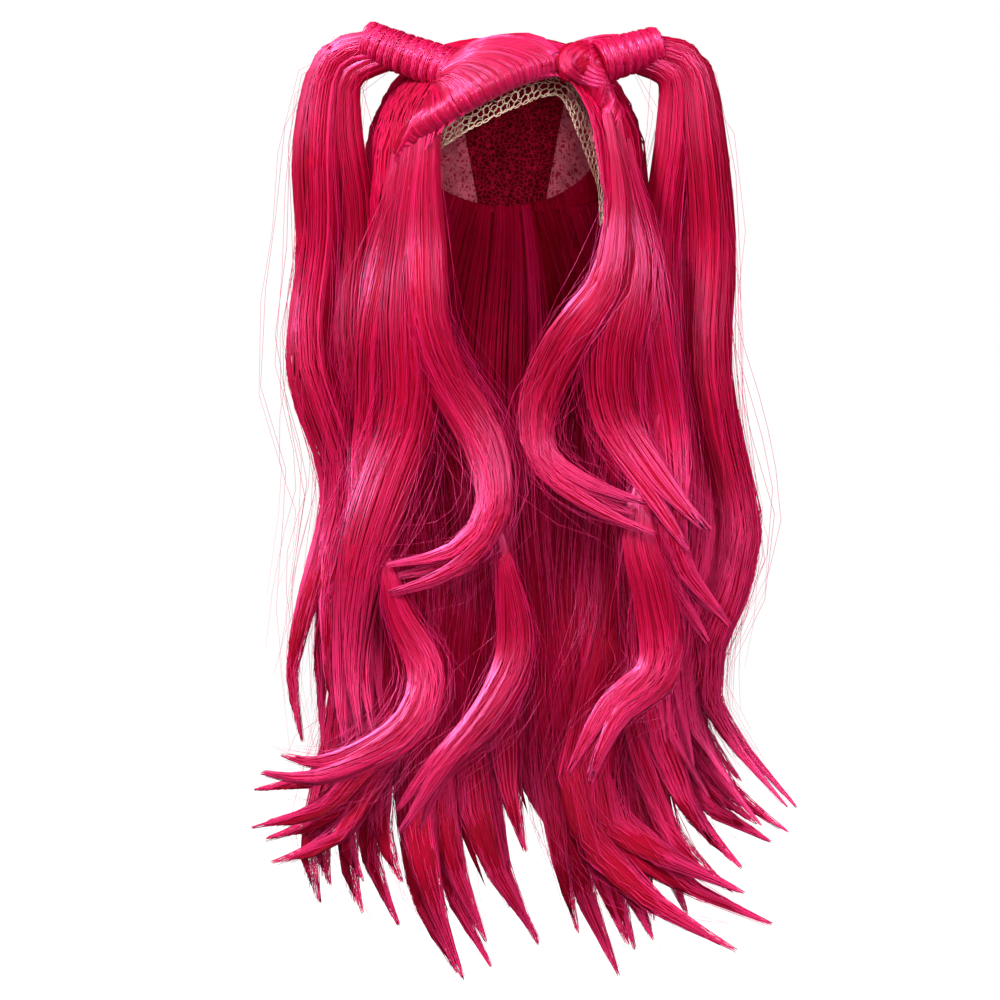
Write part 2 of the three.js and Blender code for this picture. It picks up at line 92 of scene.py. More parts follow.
# values of a sampled row at shares of the way along it
def pick(values, share):
    at = np.clip(share, 0, 1) * (len(values) - 1)
    low = np.minimum(at.astype(int), len(values) - 2)
    part = at - low
    if values.ndim > 1:
        part = part[..., None]
    return values[low] * (1 - part) + values[low + 1] * part


# the form the cap is made on
def formPoint(angle, share, off):
    lean = np.minimum(share, 1) * math.pi / 2
    power = 2 / form["squareness"]
    reach = np.sin(lean) ** power
    rise = np.maximum(np.cos(lean), 0) ** power
    skirt = np.maximum(share - 1, 0) * form["height"]
    x = (form["halfWidth"] + off) * reach * np.cos(angle)
    y = (form["halfDepth"] + off) * reach * np.sin(angle)
    z = (form["height"] + off) * rise - form["height"] - skirt
    return np.stack(np.broadcast_arrays(x, y, z), -1)


def crownOff(angle, share):
    facing = np.sin(angle)
    low = crown["side"] + (np.where(facing < 0, crown["front"], crown["back"]) - crown["side"]) * np.abs(facing)
    return crown["top"] + (low - crown["top"]) * np.minimum(share, 1)


# foremost y of the crown hair where it is seen at x, z
def frontOf(x, z, off=crownOff):
    x, z = np.broadcast_arrays(np.asarray(x, float), np.asarray(z, float))
    height = np.maximum(z + form["height"], 0)
    rise = np.minimum(height / (form["height"] + crown["top"]), 1)
    share = np.arccos(rise ** (form["squareness"] / 2)) / (math.pi / 2)
    outside = np.full(x.shape, -form["halfDepth"] - crown["side"], float)
    inside = np.zeros(x.shape)
    for _ in range(30):
        y = (inside + outside) / 2
        out = off(np.arctan2(y / form["halfDepth"], x / form["halfWidth"]), share)
        flat = np.hypot(x / (form["halfWidth"] + out), y / (form["halfDepth"] + out))
        within = flat ** form["squareness"] + (height / (form["height"] + out)) ** form["squareness"] <= 1
        inside = np.where(within, y, inside)
        outside = np.where(within, outside, y)
    return inside


# edge of the face opening: x, z, width of the lace
faceEdge = np.array([(-72, -112, 4), (-67, -92, 6), (-52, -73, 9), (-28, -57, 13), (9, -39, 16), (28, -31, 16),
                     (40, -30, 14), (47, -40, 13), (54, -58, 12), (62, -78, 9), (69, -98, 5), (71, -126, 3)], float)
capRim = np.array([(-far, -126), (-12, -126), (2, -74), (24, -64), (98, -110), (far, -300)], float)
strip = dict(middle=5, topZ=30, topHalf=51, napeZ=-130, napeHalf=21)
hairEdge = dict(frontZ=-92, bendY=-20, slope=0.19)
faceBack = -8


def faceLine(share, count=160):
    places = faceEdge[:, :2]
    run = np.vstack([places[1:], places[-1:]]) - np.vstack([places[:1], places[:-1]])
    run /= np.linalg.norm(run, axis=1, keepdims=True)
    out = faceEdge[:, 2:] * share
    return smoothLine(places + np.stack([-run[:, 1], run[:, 0]], 1) * out, count)


# that edge, with its ends drawn straight down
def faceOutline(share, count=160):
    line = faceLine(share, count)
    return np.vstack([[line[0, 0], -far], line, [line[-1, 0], -far]])


def inFace(points, share):
    outline = faceOutline(share)
    x, y, z = points[..., 0], points[..., 1], points[..., 2]
    inside = np.zeros(x.shape, bool)
    for (xa, za), (xb, zb) in zip(outline, np.roll(outline, -1, axis=0)):
        if za != zb:
            inside ^= ((za > z) != (zb > z)) & (x < (xb - xa) * (z - za) / (zb - za) + xa)
    return inside & (y < faceBack)


def hairRimZ(y):
    return hairEdge["frontZ"] - hairEdge["slope"] * np.maximum(y - hairEdge["bendY"], 0)


def stripHalf(z):
    fall = (strip["topZ"] - z) / (strip["topZ"] - strip["napeZ"])
    return strip["topHalf"] + (strip["napeHalf"] - strip["topHalf"]) * fall


def offCap(points):
    return (points[..., 2] < np.interp(points[..., 1], capRim[:, 0], capRim[:, 1])) | inFace(points, 1.05)


def offStrip(points):
    return np.abs(points[..., 0] - strip["middle"]) > stripHalf(points[..., 2])


def offHair(points):
    return points[..., 2] < hairRimZ(points[..., 1])


# how far down the form each angle reaches before a test stops it
def shareLimit(angle, off, stops):
    share = np.linspace(0, form["reach"], 700)
    hit = stops(formPoint(angle[:, None], share[None], off(angle[:, None], share[None])))
    hit[:, -1] = True
    return share[hit.argmax(1)]


# a bmesh grid bent into place; u runs across the columns, v along the rows
def bentGrid(bm, columns, rows, place):
    made = bmesh.ops.create_grid(bm, x_segments=columns, y_segments=rows, size=0.5, calc_uvs=True)
    flat = np.array([v.co[:2] for v in made["verts"]]) + 0.5
    for vert, co in zip(made["verts"], place(flat[:, 0], flat[:, 1]) * mm):
        vert.co = co


def newBmesh():
    bm = bmesh.new()
    bm.loops.layers.uv.new("UVMap")
    return bm


def addPiece(name, mesh, material, nodes):
    mesh.materials.append(material)
    piece = bpy.data.objects.new(name, mesh)
    scene.collection.objects.link(piece)
    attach(piece, "root")
    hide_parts(*nodes)
    return piece


def closedMesh(bm, name):
    bmesh.ops.remove_doubles(bm, verts=bm.verts, dist=2e-6)
    openEdges = [e for e in bm.edges if e.is_boundary]
    if openEdges:
        bmesh.ops.holes_fill(bm, edges=openEdges, sides=0)
    bmesh.ops.recalc_face_normals(bm, faces=bm.faces)
    mesh = bpy.data.meshes.new(name)
    bm.to_mesh(mesh)
    bm.free()
    mesh.polygons.foreach_set("use_smooth", np.ones(len(mesh.polygons), bool))
    return mesh


def closeMesh(bm, name, material, nodes):
    return addPiece(name, closedMesh(bm, name), material, nodes)


# closed three-sided tubes, gathered in a store and made into one mesh
def newStore():
    return dict(corners=[], normals=[], quads=[], caps=[], uv=[], count=0)


# facing, where given, is the way the whole lock faces: its strands are shaded partly by it and partly as tubes
def addTubes(store, paths, radii, shade, reference=(0.0, 1.0, 0.0), facing=None):
    n, k, _ = paths.shape
    run = unit(np.gradient(paths, axis=1))
    side = unit(np.cross(run, np.broadcast_to(reference, paths.shape)))
    other = np.cross(run, side)
    turn = np.arange(3) * 2 * math.pi / 3
    ring = side[:, :, None] * np.cos(turn)[:, None] + other[:, :, None] * np.sin(turn)[:, None]
    radii = np.broadcast_to(radii, (n, k))
    index = store["count"] + np.arange(n * k * 3).reshape(n, k, 3)
    turned = np.roll(index, -1, axis=2)
    quads = np.stack([index[:, :-1], turned[:, :-1], turned[:, 1:], index[:, 1:]], -1)
    along = np.broadcast_to(np.linspace(0, 1, k)[None, :, None], (n, k, 3))
    shades = np.broadcast_to(np.asarray(shade, float).reshape(-1, 1, 1), (n, k, 3))
    turnedTo = ring if facing is None else ring + facing[:, :, None]
    store["normals"].append(unit(turnedTo).reshape(-1, 3))
    store["corners"].append((paths[:, :, None] + ring * radii[:, :, None, None]).reshape(-1, 3))
    store["quads"].append(quads.reshape(-1, 4))
    store["caps"].append(np.concatenate([index[:, 0, ::-1], index[:, -1]]))
    store["uv"].append(np.stack([shades, along], -1).reshape(-1, 2))
    store["count"] += n * k * 3


def tubePiece(store, name, material, nodes):
    quads, caps = np.concatenate(store["quads"]), np.concatenate(store["caps"])
    corners = np.concatenate([quads.ravel(), caps.ravel()]).astype(np.int32)
    starts = np.concatenate([np.arange(len(quads)) * 4, quads.size + np.arange(len(caps)) * 3]).astype(np.int32)
    places = (np.concatenate(store["corners"]) * mm).astype(np.float32)
    mesh = bpy.data.meshes.new(name)
    mesh.vertices.add(len(places))
    mesh.vertices.foreach_set("co", places.ravel())
    mesh.loops.add(len(corners))
    mesh.loops.foreach_set("vertex_index", corners)
    mesh.polygons.add(len(starts))
    mesh.polygons.foreach_set("loop_start", starts)
    mesh.polygons.foreach_set("use_smooth", np.ones(len(starts), bool))
    layer = mesh.uv_layers.new(name="strand")
    layer.data.foreach_set("uv", np.concatenate(store["uv"])[corners].astype(np.float32).ravel())
    mesh.update(calc_edges=True)
    mesh.normals_split_custom_set_from_vertices(np.concatenate(store["normals"]))
    print(name, 2 * len(quads) + len(caps), "triangles")
    return addPiece(name, mesh, material, nodes)


# strand thickness: full along most of the length, thin at the end
strandEnd = 0.4
strandUneven = (0.75, 1.2)


def taper(count, steps, thick, thinFrom=0.7):
    late = smoothStep((np.linspace(0, 1, steps) - thinFrom) / (1 - thinFrom))
    return thick / 2 * (1 - (1 - strandEnd) * late) * rng.uniform(*strandUneven, (count, 1))


# shade of each strand, from 0 dark to 1 light: the look's base, a random tone, and the given relief, which is painted
# shade where it follows ridges and grooves
def strandShades(look, relief):
    return (look["shade"] + relief + rng.normal(0, look["strandTone"], len(relief))).clip(0, 1)


# materials
def newMaterial(name):
    material = bpy.data.materials.new(name)
    material.use_nodes = True
    nodes, links = material.node_tree.nodes, material.node_tree.links
    return material, nodes, links, nodes["Principled BSDF"]


def ramp(nodes, links, source, stops):
    node = nodes.new("ShaderNodeValToRGB")
    elements = node.color_ramp.elements
    for _ in range(len(stops) - 2):
        elements.new(0.5)
    for element, (at, colour) in zip(elements, stops):
        element.position = at
        element.color = (*colour, 1)
    links.new(source, node.inputs["Fac"])
    return node.outputs["Color"]


def math2(nodes, links, operation, a, b):
    node = nodes.new("ShaderNodeMath")
    node.operation = operation
    for socket, value in zip(node.inputs, (a, b)):
        if isinstance(value, (int, float)):
            socket.default_value = value
        else:
            links.new(value, socket)
    return node.outputs["Value"]


def mixColour(nodes, links, blend, factor, a, b):
    node = nodes.new("ShaderNodeMix")
    node.data_type = "RGBA"
    node.blend_type = blend
    for socket, value in ((node.inputs[0], factor), (node.inputs[6], a), (node.inputs[7], b)):
        if isinstance(value, (int, float)):
            socket.default_value = value
        elif isinstance(value, tuple):
            socket.default_value = (*value, 1)
        else:
            links.new(value, socket)
    return node.outputs[2]


def noiseAt(nodes, links, vector, scale, detail=2):
    node = nodes.new("ShaderNodeTexNoise")
    node.inputs["Scale"].default_value = scale
    node.inputs["Detail"].default_value = detail
    links.new(vector, node.inputs["Vector"])
    return node


def bumpFrom(nodes, links, height, strength, distance):
    node = nodes.new("ShaderNodeBump")
    node.inputs["Strength"].default_value = strength
    node.inputs["Distance"].default_value = distance
    links.new(height, node.inputs["Height"])
    return node


def uvFrom(nodes, layer):
    node = nodes.new("ShaderNodeUVMap")
    node.uv_map = layer
    return node.outputs["UV"]


hairLook = dict(
    shades=[(0.0, (0.25, 0.0, 0.007)), (0.5, (0.48, 0.001, 0.038)), (1.0, (0.80, 0.014, 0.15))],
    tip=(0.88, 0.035, 0.19), tipGlowFrom=0.64, tipGlowShare=0.65, patchScale=22, patchDepth=0.5,
    shineTint=(1.0, 0.25, 0.64), index=1.7, shine=1.0, roughness=0.37, dimmedShine=0.15, dimmedRoughness=0.5,
    # colours of the body inside the hair, darker than the strands': painted shade
    under=[(0.3, (0.18, 0.0, 0.006)), (0.5, (0.38, 0.0005, 0.02)), (0.72, (0.56, 0.001, 0.045))],
    underStrands=90, underRows=3.5, underDepth=0.9, underRelief=0.002, underRoughness=0.45, underShine=0.1,
)
capLook = dict(
    netCell=300, netThread=(0.62, 0.007, 0.045), netHole=(0.12, 0.001, 0.009), netWidth=0.07, netBend=0.002,
    laceCell=230, laceThread=(0.92, 0.2, 0.3), laceHole=(0.6, 0.02, 0.06), laceWidth=0.2, laceBend=0.006,
    patchScale=60, patchDark=0.55, relief=0.0012, roughness=0.7, shine=0.1,
    beige=(0.80, 0.63, 0.47), beigeShadow=(0.52, 0.30, 0.22), threadShadeScale=70, plyScale=420, plyRelief=0.0004,
)


# combed streaks along a UV map: a mask from groove to ridge, and the matching normal
def streakGroup():
    group = bpy.data.node_groups.new("combedStreaks", "ShaderNodeTree")
    for name, kind in (("Vector", "NodeSocketVector"), ("Strands", "NodeSocketFloat"), ("Depth", "NodeSocketFloat")):
        group.interface.new_socket(name=name, in_out="INPUT", socket_type=kind)
    for name, kind in (("Mask", "NodeSocketFloat"), ("Normal", "NodeSocketVector")):
        group.interface.new_socket(name=name, in_out="OUTPUT", socket_type=kind)
    nodes, links = group.nodes, group.links
    given, made = nodes.new("NodeGroupInput"), nodes.new("NodeGroupOutput")
    stretch = nodes.new("ShaderNodeCombineXYZ")
    links.new(given.outputs["Strands"], stretch.inputs["X"])
    stretch.inputs["Y"].default_value = hairLook["underRows"]
    spread = nodes.new("ShaderNodeVectorMath")
    spread.operation = "MULTIPLY"
    links.new(given.outputs["Vector"], spread.inputs[0])
    links.new(stretch.outputs["Vector"], spread.inputs[1])
    noise = noiseAt(nodes, links, spread.outputs["Vector"], 1, 4)
    noise.inputs["Roughness"].default_value = 0.65
    bump = bumpFrom(nodes, links, noise.outputs["Fac"], 1, hairLook["underRelief"])
    links.new(given.outputs["Depth"], bump.inputs["Strength"])
    links.new(noise.outputs["Fac"], made.inputs["Mask"])
    links.new(bump.outputs["Normal"], made.inputs["Normal"])
    return group


def strandMaterial(name, shine, roughness):
    material, nodes, links, shader = newMaterial(name)
    parts = nodes.new("ShaderNodeSeparateXYZ")  # x is the shade of the strand, y the way along it
    links.new(uvFrom(nodes, "strand"), parts.inputs["Vector"])
    place = nodes.new("ShaderNodeTexCoord").outputs["Object"]
    patches = noiseAt(nodes, links, place, hairLook["patchScale"])
    drift = math2(nodes, links, "MULTIPLY_ADD", patches.outputs["Fac"], hairLook["patchDepth"])
    drift.node.inputs[2].default_value = -hairLook["patchDepth"] / 2
    shade = math2(nodes, links, "ADD", parts.outputs["X"], drift)
    colour = ramp(nodes, links, shade, hairLook["shades"])
    # strands turn to the lighter tip colour toward their ends: painted light, the glow of thin tips lit from behind
    end = nodes.new("ShaderNodeMapRange")
    end.interpolation_type = "SMOOTHSTEP"
    end.inputs["From Min"].default_value = hairLook["tipGlowFrom"]
    end.inputs["To Max"].default_value = hairLook["tipGlowShare"]
    links.new(parts.outputs["Y"], end.inputs["Value"])
    colour = mixColour(nodes, links, "MIX", end.outputs["Result"], colour, hairLook["tip"])
    links.new(colour, shader.inputs["Base Color"])
    shader.inputs["Roughness"].default_value = roughness
    shader.inputs["Specular IOR Level"].default_value = shine
    shader.inputs["Specular Tint"].default_value = (*hairLook["shineTint"], 1)
    shader.inputs["IOR"].default_value = hairLook["index"]
    return material


def underMaterial():
    material, nodes, links, shader = newMaterial("hairUnder")
    streaks = nodes.new("ShaderNodeGroup")
    streaks.node_tree = streakTree
    streaks.inputs["Strands"].default_value = hairLook["underStrands"]
    streaks.inputs["Depth"].default_value = hairLook["underDepth"]
    links.new(uvFrom(nodes, "UVMap"), streaks.inputs["Vector"])
    # the body's colours are darker than the strands' and darkest in the grooves of its streaks: painted shade for the
    # hair deep inside, with a random tone along the streaks
    links.new(ramp(nodes, links, streaks.outputs["Mask"], hairLook["under"]), shader.inputs["Base Color"])
    links.new(streaks.outputs["Normal"], shader.inputs["Normal"])
    shader.inputs["Roughness"].default_value = hairLook["underRoughness"]
    shader.inputs["Specular IOR Level"].default_value = hairLook["underShine"]
    return material


# knitted mesh: round cells with raised threads between them
def netMaterial(name, kind):
    cell, thread, hole, width, bend = (capLook[kind + part] for part in ("Cell", "Thread", "Hole", "Width", "Bend"))
    material, nodes, links, shader = newMaterial(name)
    place = nodes.new("ShaderNodeTexCoord").outputs["Object"]
    wobble = noiseAt(nodes, links, place, cell * 0.6)
    moved = mixColour(nodes, links, "LINEAR_LIGHT", bend, place, wobble.outputs["Color"])
    cells = nodes.new("ShaderNodeTexVoronoi")
    cells.feature = "DISTANCE_TO_EDGE"
    cells.inputs["Scale"].default_value = cell
    links.new(moved, cells.inputs["Vector"])
    colour = ramp(nodes, links, cells.outputs["Distance"], [(width * 0.4, thread), (width * 1.6, hole)])
    patches = noiseAt(nodes, links, place, capLook["patchScale"])
    shading = ramp(nodes, links, patches.outputs["Fac"], [(0.3, (capLook["patchDark"],) * 3), (0.7, (1, 1, 1))])
    links.new(mixColour(nodes, links, "MULTIPLY", 1.0, colour, shading), shader.inputs["Base Color"])
    bump = bumpFrom(nodes, links, cells.outputs["Distance"], 0.8, capLook["relief"])
    bump.invert = True
    links.new(bump.outputs["Normal"], shader.inputs["Normal"])
    shader.inputs["Roughness"].default_value = capLook["roughness"]
    shader.inputs["Specular IOR Level"].default_value = capLook["shine"]
    return material


def threadMaterial():
    material, nodes, links, shader = newMaterial("laceThread")
    place = nodes.new("ShaderNodeTexCoord").outputs["Object"]
    # random lighter and darker patches of the thread; the darker beige is painted shadow
    threadShade = noiseAt(nodes, links, place, capLook["threadShadeScale"], 3)
    colour = ramp(nodes, links, threadShade.outputs["Fac"], [(0.32, capLook["beigeShadow"]), (0.62, capLook["beige"])])
    links.new(colour, shader.inputs["Base Color"])
    ply = nodes.new("ShaderNodeTexWave")
    ply.inputs["Scale"].default_value = capLook["plyScale"]
    ply.inputs["Distortion"].default_value = 2
    links.new(place, ply.inputs["Vector"])
    bump = bumpFrom(nodes, links, ply.outputs["Fac"], 0.5, capLook["plyRelief"])
    links.new(bump.outputs["Normal"], shader.inputs["Normal"])
    shader.inputs["Roughness"].default_value = 0.75
    return material


print("materials")
streakTree = streakGroup()
hairStrands = strandMaterial("hairStrands", hairLook["shine"], hairLook["roughness"])
# the second copy of the hair has its shine turned down: painted shade for the hair in shadow at the back and nape,
# and a dimmed highlight on the crown
hairDimmed = strandMaterial("hairDimmed", hairLook["dimmedShine"], hairLook["dimmedRoughness"])
hairUnder = underMaterial()
capNet = netMaterial("capNet", "net")
capLace = netMaterial("capLace", "lace")
laceThread = threadMaterial()

# cap: a net strip over the crown and two lace sides, seen from inside
print("cap")
capGrid = dict(stripColumns=120, stripRows=41, sideColumns=60, sideRows=20, seam=0.004, least=0.02)
fine = 1441  # angles at which the edges of a wall are found


def plain(off):
    return lambda angle, share: np.full(np.broadcast(angle, share).shape, float(off))


# rows of a shell: down its outer face, round its rim and up its inner face
def shellRows(v, rows):
    return np.minimum(1, (1 - np.abs(2 * v - 1)) * rows / (rows - 1)), (v > 0.5)[:, None]


def capStrip():
    around = np.linspace(0, 2 * math.pi, fine)
    outer, inner = (shareLimit(around, plain(off), lambda p: offStrip(p) | offCap(p)) for off in (capWall, 0))
    bm = newBmesh()

    def place(u, v):
        angle = u * 2 * math.pi
        down, inside = shellRows(v, capGrid["stripRows"])
        return np.where(inside, formPoint(angle, np.interp(angle, around, inner) * down, 0),
                        formPoint(angle, np.interp(angle, around, outer) * down, capWall))

    bentGrid(bm, capGrid["stripColumns"], capGrid["stripRows"], place)
    return closeMesh(bm, "cap_net_strip", capNet, ["cap_back_panel"])


def capSide(name, node, side):
    around = np.linspace(-math.pi / 2, math.pi / 2, fine // 2 + 1) + (0 if side > 0 else math.pi)
    inner = {off: shareLimit(around, plain(off), offStrip) + capGrid["seam"] for off in (0, capWall)}
    outer = {off: shareLimit(around, plain(off), offCap) for off in (0, capWall)}
    least = capGrid["least"]
    free = np.flatnonzero((outer[0] - inner[0] > least) & (outer[capWall] - inner[capWall] > least))
    first, last = around[free[0]], around[free[-1]]
    rows = capGrid["sideRows"]
    loop = 2 * rows + 2  # down the inner face, up the outer one, and a last row that closes the loop
    bm = newBmesh()

    def place(u, v):
        angle = first + (last - first) * u
        row = np.round(v * loop)
        points = []
        for off, down in ((0, np.where(row < loop, row / rows, 0)), (capWall, (loop - 1 - row) / rows)):
            top, low = np.interp(angle, around, inner[off]), np.interp(angle, around, outer[off])
            points.append(formPoint(angle, top + (low - top) * np.clip(down, 0, 1), off))
        return np.where(((row > rows) & (row < loop))[:, None], points[1], points[0])

    bentGrid(bm, capGrid["sideColumns"], loop, place)
    return closeMesh(bm, name, capLace, [node])


capStrip()
capSide("cap_lace_left", "cap_side_panel_left", -1)
capSide("cap_lace_right", "cap_side_panel_right", 1)

# lace round the face: rows of thread rings between two edge cords
frontLace = dict(columns=46, rows=3, ringSteps=13, thread=0.8, overlap=1.2, uneven=0.12, wide=(0.75, 1.2),
                 high=(0.75, 1.15), edge=1.1, edgeIn=0.03, edgeWave=0.1, edgeSteps=260, off=0.1)


def laceBand(look):
    lines = np.stack([faceLine(v, 400) for v in np.linspace(0, 1, 9)])

    def place(t, v):
        at = np.clip(v, 0, 1) * (len(lines) - 1)
        low = np.minimum(at.astype(int), len(lines) - 2)
        part = (at - low)[..., None]
        column = np.round(np.clip(t, 0, 1) * (lines.shape[1] - 1)).astype(int)
        seen = lines[low, column] * (1 - part) + lines[low + 1, column] * part
        y = frontOf(seen[..., 0], seen[..., 1], lambda angle, share: look["off"])
        return np.stack([seen[..., 0], y, seen[..., 1]], -1)

    store = newStore()
    turn = np.linspace(0, 2 * math.pi, look["ringSteps"])
    column, row = np.meshgrid(np.arange(look["columns"]), np.arange(look["rows"]))
    middleT = (column.ravel() + 0.5 + 0.5 * (row.ravel() % 2)) / (look["columns"] + 0.5)
    middleV = (row.ravel() + 0.5) / look["rows"]
    count = len(middleT)
    middleT += rng.normal(0, look["uneven"], count) / look["columns"]
    middleV += rng.normal(0, look["uneven"], count) / look["rows"]
    wide = 0.5 / look["columns"] * look["overlap"] * rng.uniform(*look["wide"], count)
    high = 0.5 / look["rows"] * look["overlap"] * rng.uniform(*look["high"], count)
    t = middleT[:, None] + wide[:, None] * np.cos(turn)
    v = middleV[:, None] + high[:, None] * np.sin(turn)
    reference = np.array((0.0, 1.0, 0.0)) + 0.01
    addTubes(store, place(t, v), look["thread"] / 2, rng.uniform(0, 1, count), reference)
    t = np.linspace(0, 1, look["edgeSteps"])
    wave = look["edgeIn"] + np.abs(look["edgeWave"] * np.sin(t * look["columns"] * math.pi))
    addTubes(store, np.stack([place(t, wave), place(t, 1 - wave)]), look["edge"] / 2, (0.5, 0.5), reference)
    return tubePiece(store, "front_lace_threads", laceThread, ["lace_front"])


laceBand(frontLace)

# locks: root, bends and tip of each, with its width and depth
backBand = dict(half=92, back=110)
backLocks = [
    dict(turn=-82, bends=[(-100, 30, -190), (-98, 32, -320), (-86, 32, -420), (-94, 28, -500), (-140, 22, -561)],
         tip=(-196, 16, -569), wide=44, deep=22),
    dict(turn=-70, bends=[(-92, 48, -210), (-80, 50, -330), (-80, 48, -440), (-98, 42, -530), (-134, 36, -583)],
         tip=(-182, 30, -597), wide=46, deep=24),
    dict(turn=-58, bends=[(-84, 66, -220), (-88, 66, -340), (-104, 60, -450), (-126, 54, -550), (-134, 48, -601)],
         tip=(-109, 44, -646), wide=46, deep=24),
    dict(turn=-46, bends=[(-68, 84, -220), (-72, 80, -340), (-90, 72, -450), (-104, 64, -550), (-104, 58, -605)],
         tip=(-76, 54, -658), wide=48, deep=26),
    dict(turn=-33, bends=[(-50, 98, -220), (-54, 94, -340), (-62, 86, -460), (-62, 76, -560), (-50, 70, -625)],
         tip=(-12, 64, -698), wide=52, deep=28),
    dict(turn=-20, bends=[(-34, 108, -230), (-32, 104, -350), (-38, 94, -470), (-32, 84, -570), (-16, 78, -620)],
         tip=(14, 72, -675), wide=54, deep=28),
    dict(turn=-7, bends=[(-14, 112, -240), (-6, 106, -360), (-4, 96, -470), (10, 86, -545)],
         tip=(36, 78, -618), wide=60, deep=26),
    dict(turn=8, bends=[(18, 112, -240), (26, 106, -360), (36, 96, -470), (46, 84, -570), (58, 76, -625)],
         tip=(79, 70, -678), wide=48, deep=26),
    dict(turn=20, bends=[(36, 108, -230), (48, 102, -350), (56, 92, -470), (64, 80, -570), (84, 72, -635)],
         tip=(118, 66, -695), wide=50, deep=28),
    dict(turn=33, bends=[(56, 98, -220), (66, 92, -340), (78, 84, -460), (94, 74, -560), (106, 68, -620)],
         tip=(126, 62, -680), wide=46, deep=26),
    dict(turn=46, bends=[(78, 82, -225), (92, 74, -345), (86, 64, -440), (64, 54, -515), (68, 48, -565),
                         (110, 42, -612)], tip=(202, 36, -654), wide=50, deep=24),
    dict(turn=58, bends=[(94, 66, -215), (106, 60, -330), (108, 54, -440), (118, 46, -530), (146, 40, -582)],
         tip=(191, 34, -612), wide=52, deep=24),
    dict(turn=72, bends=[(104, 46, -200), (116, 44, -320), (120, 40, -430), (132, 36, -515), (160, 32, -560)],
         tip=(208, 28, -598), wide=44, deep=22),
]
for row in backLocks:
    rootY = backBand["back"] * math.cos(math.radians(row["turn"]))
    row["root"] = (backBand["half"] * math.sin(math.radians(row["turn"])), rootY, hairRimZ(rootY) - gap)

bunchLeft = [
    dict(root=(-103, -36, 13), bends=[(-126, -34, -2), (-140, -30, -60), (-140, -24, -140), (-146, -18, -230),
                                      (-122, -12, -315), (-136, -8, -400), (-144, -6, -470)],
         tip=(-131, -4, -524), wide=38, deep=28),
    dict(root=(-103, -33, 8), bends=[(-121, -24, -8), (-130, -16, -60), (-130, -10, -140), (-134, -6, -225),
                                     (-110, -2, -315), (-124, 0, -410), (-128, 2, -490)],
         tip=(-112, 4, -548), wide=34, deep=28),
    dict(root=(-103, -36, 6), bends=[(-117, -34, -14), (-121, -28, -50), (-113, -20, -120), (-114, -12, -220),
                                     (-98, -6, -320), (-106, -2, -420)],
         tip=(-100, 2, -530), wide=30, deep=26),
]
bunchRight = [
    dict(root=(114, -36, 10), bends=[(136, -34, -4), (149, -30, -60), (154, -24, -140), (154, -18, -230),
                                     (162, -14, -294), (175, -10, -352), (168, -7, -402), (152, -4, -442),
                                     (150, -2, -490)], tip=(214, 2, -568), wide=36, deep=26),
    dict(root=(114, -33, 6), bends=[(131, -24, -10), (140, -16, -60), (142, -10, -140), (140, -6, -230),
                                    (152, -2, -335), (138, 2, -435), (140, 4, -500)],
         tip=(196, 6, -582), wide=34, deep=28),
    dict(root=(114, -36, 4), bends=[(125, -34, -14), (127, -28, -50), (119, -20, -120), (121, -12, -230),
                                    (136, -6, -340), (120, -2, -440)],
         tip=(138, 4, -545), wide=30, deep=26),
]
frontLeft = [
    dict(root=(-58, -85, -52), bends=[(-60, -82, -120), (-58, -76, -196), (-44, -72, -236), (-15, -70, -292),
                                      (-10, -68, -342), (-36, -66, -376)],
         tip=(-105, -62, -392), wide=34, deep=17),
    dict(root=(-66, -80, -56), bends=[(-70, -76, -130), (-72, -70, -200), (-72, -66, -260), (-90, -62, -325),
                                      (-110, -56, -390), (-114, -50, -450)],
         tip=(-104, -44, -520), wide=44, deep=18),
    dict(root=(-77, -68, -78), bends=[(-84, -64, -130), (-94, -58, -200), (-96, -52, -260), (-104, -48, -330)],
         tip=(-136, -44, -420), wide=36, deep=16),
    dict(root=(-100, -58, -335), bends=[(-80, -60, -410), (-59, -60, -462), (-72, -58, -499), (-112, -54, -527),
                                        (-145, -50, -535)], tip=(-182, -46, -526), wide=32, deep=15),
    dict(root=(-12, -66, -330), bends=[(4, -62, -395), (8, -58, -448), (-14, -54, -493), (-50, -50, -535)],
         tip=(-78, -46, -582), wide=30, deep=15),
]
frontRight = [
    dict(root=(79, -62, -50), bends=[(85, -72, -110), (75, -74, -170), (48, -74, -208), (25, -72, -262),
                                     (28, -70, -300), (58, -68, -326)],
         tip=(116, -64, -349), wide=32, deep=15),
    dict(root=(84, -58, -54), bends=[(90, -64, -120), (92, -66, -160), (80, -66, -225), (84, -64, -272),
                                     (112, -60, -317)], tip=(156, -54, -366), wide=44, deep=17),
    dict(root=(92, -50, -70), bends=[(102, -52, -140), (110, -50, -230), (122, -48, -310), (128, -44, -380)],
         tip=(164, -42, -433), wide=42, deep=16),
    dict(root=(116, -52, -270), bends=[(100, -54, -350), (112, -54, -405), (114, -54, -460), (84, -52, -488)],
         tip=(52, -48, -552), wide=36, deep=15),
]
lockTip = 0.08
looseTip = 0.55
backShape = dict(rootShare=0.5, fullAt=0.26, thinFrom=0.8, sway=7, swayLength=170, swayFrom=2.0)
bunchShape = dict(rootShare=0.75, fullAt=0.16, thinFrom=0.7, sway=6, swayLength=180, swayFrom=0.5)
frontShape = dict(rootShare=0.5, fullAt=0.3, thinFrom=0.55, sway=7, swayLength=160, swayFrom=0.0)
samples = 120


